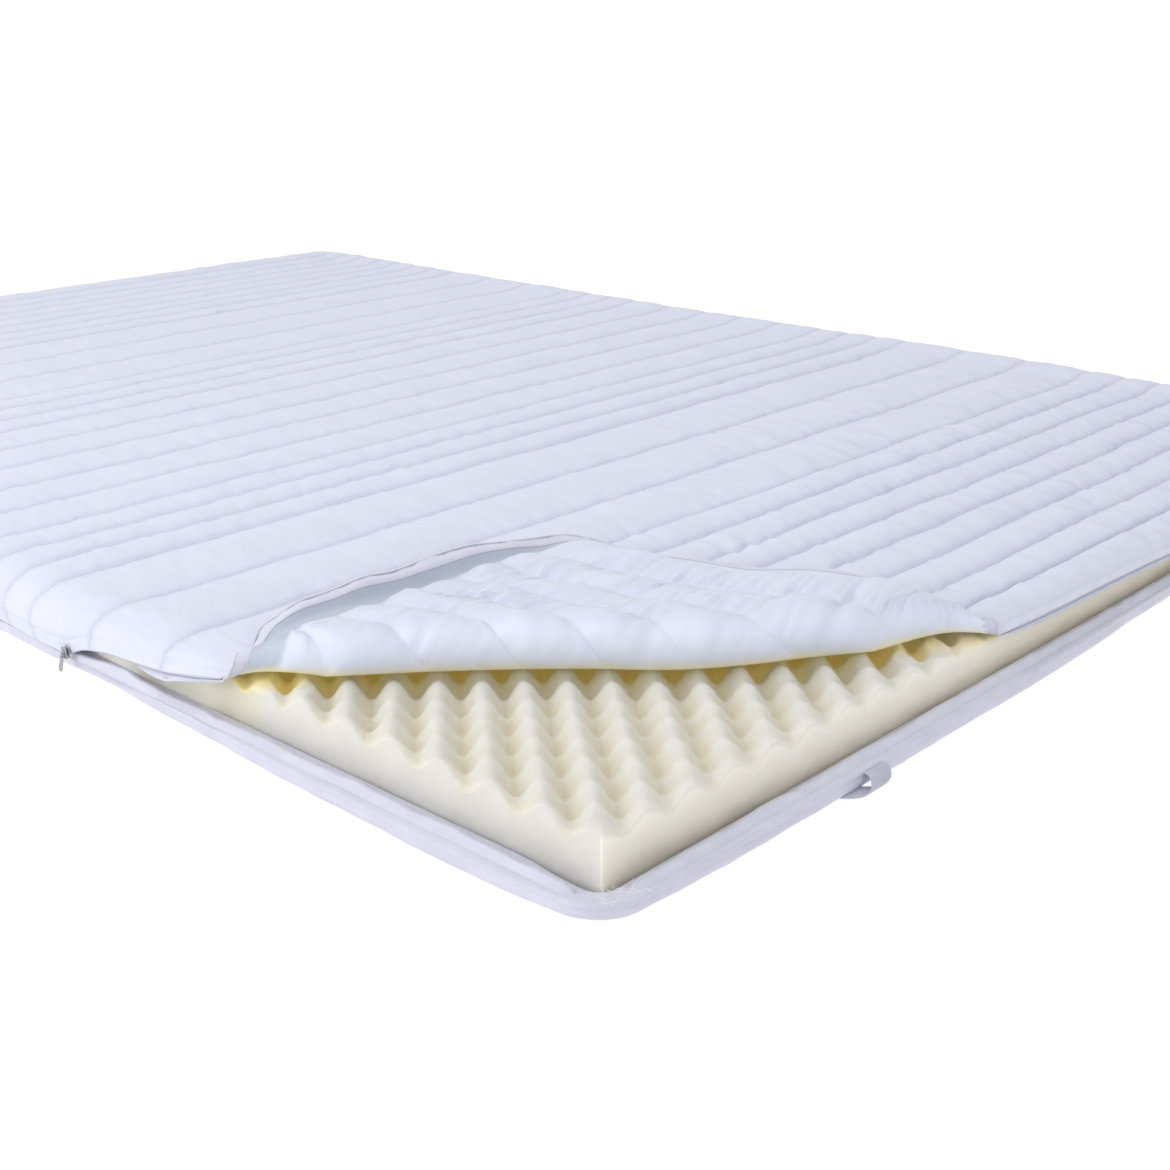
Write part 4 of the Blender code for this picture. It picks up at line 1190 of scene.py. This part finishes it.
def zip_pull(material):
    half = [(0.0015, 0.0), (0.0022, -0.003), (0.0027, -0.0125), (0.0016, -0.0155)]
    outline = half + [(-y, z) for y, z in half[::-1]]
    tab = plate("pull_tab", outline, 0.0011, 0.0004, PULL, material, PULL_LEAN)
    ring_place = (PULL[0] + 0.0006, SLIDER_Y, PULL[2] + 0.0016)
    ring = ring_tube("pull_ring", ring_place, (0, 1, 0.3), 0.00045, 1.2, material)
    return joined("zip_pull_tab", [tab, ring])


# The elastic loop's centre line, and its cloth
BAND = [
    (0.294, 0.0000, 0.0100),
    (0.292, -0.0070, 0.0112),
    (0.288, -0.0130, 0.0100),
    (0.283, -0.0165, 0.0058),
    (0.276, -0.0145, 0.0020),
    (0.268, -0.0080, 0.0012),
    (0.261, 0.0014, 0.0012),
]
BAND_WIDTH = 0.026


def strap_band(material):
    """The elastic loop: a ribbed ribbon through a smooth centre line."""
    table = [(k, *row) for k, row in enumerate(BAND)]
    s = np.linspace(0, len(BAND) - 1, 49)
    line = np.stack([read(table, s, column) for column in (1, 2, 3)], -1)
    run = unit(np.gradient(line[:, 1:], axis=0))
    normal = np.stack([0 * s, -run[:, 1], run[:, 0]], -1)
    across = np.linspace(-BAND_WIDTH / 2, BAND_WIDTH / 2, 27)
    ribs = 0.00012 * np.cos(2 * math.pi * across / 0.0035)
    rows, flats = [], []
    for side in (1, -1):
        for a, rib in zip(across[::side], ribs[::side]):
            thick = side * (0.00055 + rib * (abs(a) < 0.012)) * (1 - 0.5 * (abs(a) > 0.0125))
            rows.append(line + np.array([a, 0, 0]) + normal * thick)
            flats.append(np.stack([s * 0.008, np.full(len(s), a)], -1))
    points = np.stack(rows, 1).reshape(-1, 3) - ORIGIN
    uv = np.stack(flats, 1).reshape(-1, 2)
    first = np.arange(len(rows))
    ends = [first[::-1], (len(s) - 1) * len(rows) + first]
    quads = grid_quads(len(s), len(rows), wrap=True)
    return make_mesh("strap_band", points, quads, material, uv, faces=ends)


# ---------------------------------------------------------------- loose threads


def threads(material):
    """Short frayed ends at the flap's corner and at the lower tape's corner."""
    rng = np.random.default_rng(5)
    tip = place(*np.array([[0.012 - EDGE], [0.012 - EDGE], [-0.003]]))[0]
    # Each tuft: centre, number of threads, spread
    tufts = [
        (tip + [0, 0, 0.001], 26, 0.020),
        (np.array([0.016, 0.010, 0.014]) - ORIGIN, 12, 0.006),
        (np.array([0.030, 0.006, 0.0165]) - ORIGIN, 10, 0.006),
    ]
    steps = np.linspace(0, 1, 7)
    rows, quads = [], []
    for centre, count, spread in tufts:
        for _ in range(count):
            start = centre + rng.uniform(-1, 1, 3) * [spread, spread, 0.0004]
            heading = rng.uniform(0, 2 * math.pi)
            size = rng.uniform(0.004, 0.010)
            bend = rng.uniform(-1.2, 1.2)
            x = start[0] + size * steps * np.cos(heading + bend * steps)
            y = start[1] + size * steps * np.sin(heading + bend * steps)
            z = start[2] + size * 0.35 * np.sin(math.pi * steps * rng.uniform(0.4, 0.9))
            line = np.stack([x, y, z], -1)
            quads.append(grid_quads(len(steps), 4, len(rows) * 4 * len(steps), wrap=True))
            ring = []
            for turn in np.arange(4) * math.pi / 2:
                c, n = math.cos(turn), math.sin(turn)
                ring.append(line + THREAD_HALF * np.array([c, n * 0.6, n]))
            rows.append(np.stack(ring, 1).reshape(-1, 3))
    points = np.concatenate(rows)
    return make_mesh("frayed_threads", points, np.concatenate(quads), material, points[:, :2])


# ---------------------------------------------------------------- materials


# Light that comes through the cloth on to the foam: under the flap, beside the slider, in the hollows
UNDER_GLOW = 0.06
SLOT_GLOW = 0.22
DEEP_GLOW = 0.07
# Light that the foam throws back on the underside of the fold
ROLL_GLOW = 0.08


class Look:
    """A Principled material, with short ways to build its nodes."""

    def __init__(self, name, colour, roughness, specular, sheen=0.0):
        self.material = bpy.data.materials.new(name)
        self.material.use_nodes = True
        self.material.diffuse_color = (*colour, 1)
        self.tree = self.material.node_tree
        self.shader = self.tree.nodes["Principled BSDF"]
        self.give("Base Color", (*colour, 1))
        self.give("Roughness", roughness)
        self.give("Specular IOR Level", specular)
        self.give("Sheen Weight", sheen)

    def feed(self, socket, value):
        """Give an input another node's output, a number or a colour."""
        if isinstance(value, bpy.types.NodeSocket):
            self.tree.links.new(value, socket)
        else:
            socket.default_value = value

    def give(self, key, value):
        self.feed(self.shader.inputs[key], value)

    def node(self, kind, inputs, **settings):
        made = self.tree.nodes.new(kind)
        for key, value in settings.items():
            setattr(made, key, value)
        for key, value in inputs.items():
            self.feed(made.inputs[key], value)
        return made

    def flat(self, *scale):
        """The cloth's own flat coordinates, in metres, scaled."""
        uv = self.node("ShaderNodeUVMap", {}, uv_map="flat").outputs[0]
        return self.node("ShaderNodeMapping", {0: uv, "Scale": scale or (1, 1, 1)}).outputs[0]

    def noise(self, vector, scale, detail=2.0, roughness=0.5):
        inputs = {"Vector": vector, "Scale": scale, "Detail": detail, "Roughness": roughness}
        return self.node("ShaderNodeTexNoise", inputs).outputs["Fac"]

    def mark(self, name):
        """One of the mesh's named attributes."""
        return self.node("ShaderNodeAttribute", {}, attribute_name=name).outputs["Fac"]

    def maths(self, operation, first, second=0.0):
        return self.node("ShaderNodeMath", {0: first, 1: second}, operation=operation).outputs[0]

    def times(self, first, second):
        return self.maths("MULTIPLY", first, second)

    def beside(self, distance, reach):
        """1 where a distance is none, down to 0 where it is the reach."""
        return self.maths("SUBTRACT", 1.0, self.maths("MINIMUM", self.maths("DIVIDE", distance, reach), 1.0))

    def tint(self, factor, dark, light):
        """A colour between two tints by a factor that keeps near one half."""
        ramp = self.node("ShaderNodeValToRGB", {0: factor})
        for element, place_on, colour in zip(ramp.color_ramp.elements, (0.3, 0.7), (dark, light)):
            element.position = place_on
            element.color = (*colour, 1)
        return ramp.outputs[0]

    def mixed(self, factor, first, second):
        """One colour over another by a factor."""
        mix = self.node("ShaderNodeMix", {0: factor}, data_type="RGBA")
        for socket, value in ((6, first), (7, second)):
            self.feed(mix.inputs[socket], (*value, 1) if isinstance(value, tuple) else value)
        return mix.outputs[2]

    def stitches(self, seam, pitch, half_width):
        """1 on the thread of a row of stitches, 0 in the needle holes and beside it."""
        along = self.node("ShaderNodeSeparateXYZ", {0: self.flat()}).outputs[0]
        wave = self.maths("SINE", self.times(along, 2 * math.pi / pitch))
        dash = self.maths("MAXIMUM", self.maths("ADD", self.times(wave, 0.8), 0.5), 0.0)
        return self.times(self.beside(seam, half_width), self.maths("MINIMUM", dash, 1.0))

    def bumped(self, *layers):
        """Stack bump layers: (height, strength, distance). Returns the finished material."""
        normal = None
        for height, strength, distance in layers:
            inputs = {"Strength": strength, "Distance": distance, "Height": height}
            if normal is not None:
                inputs["Normal"] = normal
            normal = self.node("ShaderNodeBump", inputs).outputs[0]
        self.give("Normal", normal)
        return self.material


def cover_cloth():
    look = Look("cover_cloth", (0.66, 0.68, 0.79), 0.88, 0.25, 0.06)
    flat = look.flat()
    ribs = look.noise(look.flat(1.0, 0.45, 1.0), 900.0, 1.5)
    knit = look.noise(flat, 520.0, 3.0, 0.6)
    cloud = look.noise(flat, 14.0, 3.0)
    tone = look.maths("ADD", look.times(knit, 0.45), look.times(cloud, 0.55))
    tint = look.tint(tone, (0.65, 0.67, 0.785), (0.695, 0.715, 0.83))
    seam = look.mark("seam")
    # Painted shade: the cloth's colour darkens towards each seam, where the quilting's troughs fall into
    # shade
    crease = look.maths("POWER", look.beside(seam, 0.013), 2.0)
    look.give("Base Color", look.mixed(look.times(crease, 0.24), tint, (0.36, 0.37, 0.52)))
    stitches = look.stitches(seam, 0.0034, 0.0011)
    folds = look.noise(look.flat(1.0, 0.5, 1.0), 34.0, 1.5, 0.45)
    folds = look.times(folds, look.mark("busy"))
    return look.bumped(
        (ribs, 0.35, 0.0005), (knit, 0.45, 0.0008), (stitches, 0.8, 0.0006), (folds, 0.7, 0.012)
    )


def lining_cloth():
    look = Look("lining_cloth", (0.62, 0.665, 0.79), 0.5, 0.4, 0.2)
    flat = look.flat()
    emboss = look.noise(flat, 1100.0, 1.0)
    crinkle = look.noise(flat, 95.0, 3.0, 0.55)
    tint = look.tint(look.noise(flat, 20.0), (0.60, 0.64, 0.765), (0.65, 0.69, 0.81))
    # Painted shade on the band between the hem and the puffs
    shade = look.mixed(look.mark("strip"), tint, (0.43, 0.475, 0.57))
    # Painted warm light from the foam on the fold's underside: a yellower colour and a warm glow
    painted_foam_bounce = look.mark("painted_foam_bounce")
    look.give("Base Color", look.mixed(look.times(painted_foam_bounce, 0.8), shade, (0.86, 0.80, 0.50)))
    look.give("Emission Color", look.mixed(painted_foam_bounce, (0.80, 0.85, 0.95), (0.90, 0.84, 0.58)))
    # Painted glow on the fold's roll, as emission
    look.give("Emission Strength", look.times(look.mark("roll"), ROLL_GLOW))
    stitches = look.stitches(look.mark("seam"), 0.0030, 0.0008)
    return look.bumped((emboss, 0.15, 0.0003), (crinkle, 0.30, 0.0016), (stitches, 0.4, 0.0004))


def foam_cells():
    look = Look("foam_cells", (0.78, 0.77, 0.72), 0.95, 0.15)
    look.give("Subsurface Weight", 0.8)
    look.give("Subsurface Scale", 0.019)
    look.give("Subsurface Radius", (1.0, 0.92, 0.74))
    flat = look.flat()
    cells = look.noise(flat, 1300.0, 2.0, 0.7)
    coarse = look.noise(flat, 320.0, 3.0, 0.6)
    # Painted warm light in the foam's hollows: a yellower colour and a faint glow
    deep = look.maths("POWER", look.mark("deep"), 1.3)
    under = look.mark("under")
    slot = look.mark("slot")
    colour = look.tint(look.noise(flat, 25.0), (0.615, 0.607, 0.575), (0.65, 0.642, 0.615))
    # Each layer's amount and colour, from the painted warm light in the hollows to the pores
    layers = [
        (look.times(deep, 0.85), (0.76, 0.705, 0.54)),
        # Painted shade on the top of the left cut edge
        (look.times(look.mark("rim"), 0.5), (0.52, 0.515, 0.50)),
        # Painted light: the near side coloured lighter
        (look.mark("near"), (0.80, 0.785, 0.73)),
        # Painted light under the fold
        (under, (0.90, 0.76, 0.32)),
        # Painted warm shade at the near side's foot
        (look.mark("painted_foot_shade"), (0.88, 0.76, 0.48)),
        (look.times(cells, 0.08), (0.55, 0.50, 0.35)),
    ]
    for amount, over in layers:
        colour = look.mixed(amount, colour, over)
    look.give("Base Color", colour)
    # Painted glow: ochre under the fold, pale warm in the hollows, pale beside the slider
    bare = look.mixed(under, (1.0, 0.90, 0.62), (0.88, 0.68, 0.18))
    look.give("Emission Color", look.mixed(slot, bare, (0.80, 0.79, 0.72)))
    glow = look.maths("ADD", look.times(under, UNDER_GLOW), look.times(slot, SLOT_GLOW))
    look.give("Emission Strength", look.maths("ADD", glow, look.times(deep, DEEP_GLOW)))
    return look.bumped((coarse, 0.25, 0.0008), (cells, 0.5, 0.0004))


def plain_cloth(name, dark, light, roughness, scale, strength):
    """A finely woven cloth: warp and weft ribs with a little cloudiness."""
    look = Look(name, light, roughness, 0.3, 0.2)
    warp = look.noise(look.flat(1.0, 0.35, 1.0), scale, 1.0)
    weft = look.noise(look.flat(0.35, 1.0, 1.0), scale, 1.0)
    look.give("Base Color", look.tint(look.noise(look.flat(), 30.0), dark, light))
    return look.bumped((warp, strength, 0.0004), (weft, strength, 0.0004))


def worn_metal():
    look = Look("zip_metal", (0.42, 0.42, 0.44), 0.35, 0.5)
    look.give("Metallic", 1.0)
    scuffs = look.noise(look.node("ShaderNodeTexCoord", {}).outputs["Object"], 900.0, 3.0)
    look.give("Base Color", look.tint(scuffs, (0.34, 0.34, 0.36), (0.52, 0.52, 0.54)))
    return look.bumped((scuffs, 0.15, 0.0002))


# ---------------------------------------------------------------- room, light and camera


WHITE = (1.0, 1.0, 1.0, 1)
SKY = 0.895
KEY_POWER = 34.0
KEY_SIZE = 2.4
KEY_PLACE = (-2.5, 0.5, 1.75)
KEY_AIM = (0.1, -0.1, 0.0)
FLOOR_GLOW = 0.82
FLOOR_HALF = 90.0
FLOOR_Z = -0.0004
# The camera that was fitted to the photo, and its focal length in the photo's own pixels
CAMERA_PLACE = (-1.355, -1.587, 0.552)
CAMERA_YAW = math.radians(42.62)
CAMERA_PITCH = math.radians(20.02)
FOCAL_PIXELS = 1646
PHOTO_PIXELS = 1170
SENSOR = 36.0


def floor_plane():
    look = Look("floor_matt", (0.26, 0.26, 0.262), 0.9, 0.0)
    look.give("Emission Color", WHITE)
    look.give("Emission Strength", FLOOR_GLOW)
    corners = [(-1, -1), (1, -1), (1, 1), (-1, 1)]
    points = np.array([(x * FLOOR_HALF, y * FLOOR_HALF, FLOOR_Z) for x, y in corners])
    make_mesh("floor", points, np.array([(0, 1, 2, 3)]), look.material)


def lights():
    world = bpy.data.worlds.new("studio")
    bpy.context.scene.world = world
    world.use_nodes = True
    background = world.node_tree.nodes["Background"]
    background.inputs[0].default_value = WHITE
    background.inputs[1].default_value = SKY
    lamp = bpy.data.lights.new("key", "AREA")
    lamp.energy = KEY_POWER
    lamp.shape = "SQUARE"
    lamp.size = KEY_SIZE
    obj = bpy.data.objects.new("key", lamp)
    bpy.context.scene.collection.objects.link(obj)
    obj.location = KEY_PLACE
    obj.rotation_euler = (Vector(KEY_AIM) - Vector(KEY_PLACE)).to_track_quat("-Z", "Y").to_euler()


def camera():
    data = bpy.data.cameras.new("camera")
    obj = bpy.data.objects.new("camera", data)
    bpy.context.scene.collection.objects.link(obj)
    level = math.cos(CAMERA_PITCH)
    heading = (math.cos(CAMERA_YAW) * level, math.sin(CAMERA_YAW) * level, -math.sin(CAMERA_PITCH))
    obj.location = CAMERA_PLACE
    obj.rotation_euler = Vector(heading).to_track_quat("-Z", "Y").to_euler()
    data.sensor_width = SENSOR
    data.lens = SENSOR * FOCAL_PIXELS / PHOTO_PIXELS
    data.clip_start = 0.01
    data.clip_end = 400.0
    bpy.context.scene.camera = obj


# ---------------------------------------------------------------- the whole


def main():
    camera()
    lights()
    floor_plane()
    lower = plain_cloth("border_cloth", (0.575, 0.585, 0.69), (0.625, 0.635, 0.735), 0.8, 700.0, 0.3)
    tape = plain_cloth("tape_weave", (0.585, 0.597, 0.70), (0.635, 0.648, 0.745), 0.75, 1100.0, 0.35)
    coil = plain_cloth("coil_nylon", (0.70, 0.71, 0.79), (0.75, 0.76, 0.83), 0.5, 900.0, 0.1)
    band = plain_cloth("elastic_weave", (0.44, 0.45, 0.53), (0.50, 0.51, 0.60), 0.75, 1400.0, 0.4)
    thread = plain_cloth("thread_fibre", (0.82, 0.84, 0.90), (0.88, 0.90, 0.94), 0.8, 900.0, 0.1)
    metal = worn_metal()
    # Each piece: what makes it, its material, the CAD nodes it stands for, the record's slot
    plan = [
        (quilted_cover, cover_cloth(), ["cover_top"], "cover_cloth"),
        (puffed_lining, lining_cloth(), ["cover_lining"], "lining_cloth"),
        (foam_block, foam_cells(), ["foam_core"], "foam"),
        (lower_cover, lower, ["cover_bottom"], "cover_cloth"),
        (lower_tape, tape, ["zip_tape_bottom"], "zip_tape"),
        (lower_teeth, coil, [], "zip_tape"),
        (upper_tape, tape, ["zip_tape_top"], "zip_tape"),
        (upper_teeth, coil, [], "zip_tape"),
        (zip_slider, metal, ["zip_slider"], "zip_metal"),
        (zip_pull, metal, ["zip_pull"], "zip_metal"),
        (strap_band, band, ["strap_loop"], "elastic"),
        (threads, thread, [], "cover_cloth"),
    ]
    made = [(make(material), nodes, slot) for make, material, nodes, slot in plan]
    for obj, nodes, slot in made:
        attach(obj, "root")
        if nodes:
            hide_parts(*nodes)


bpy.context.scene.view_settings.view_transform = "Standard"
main()
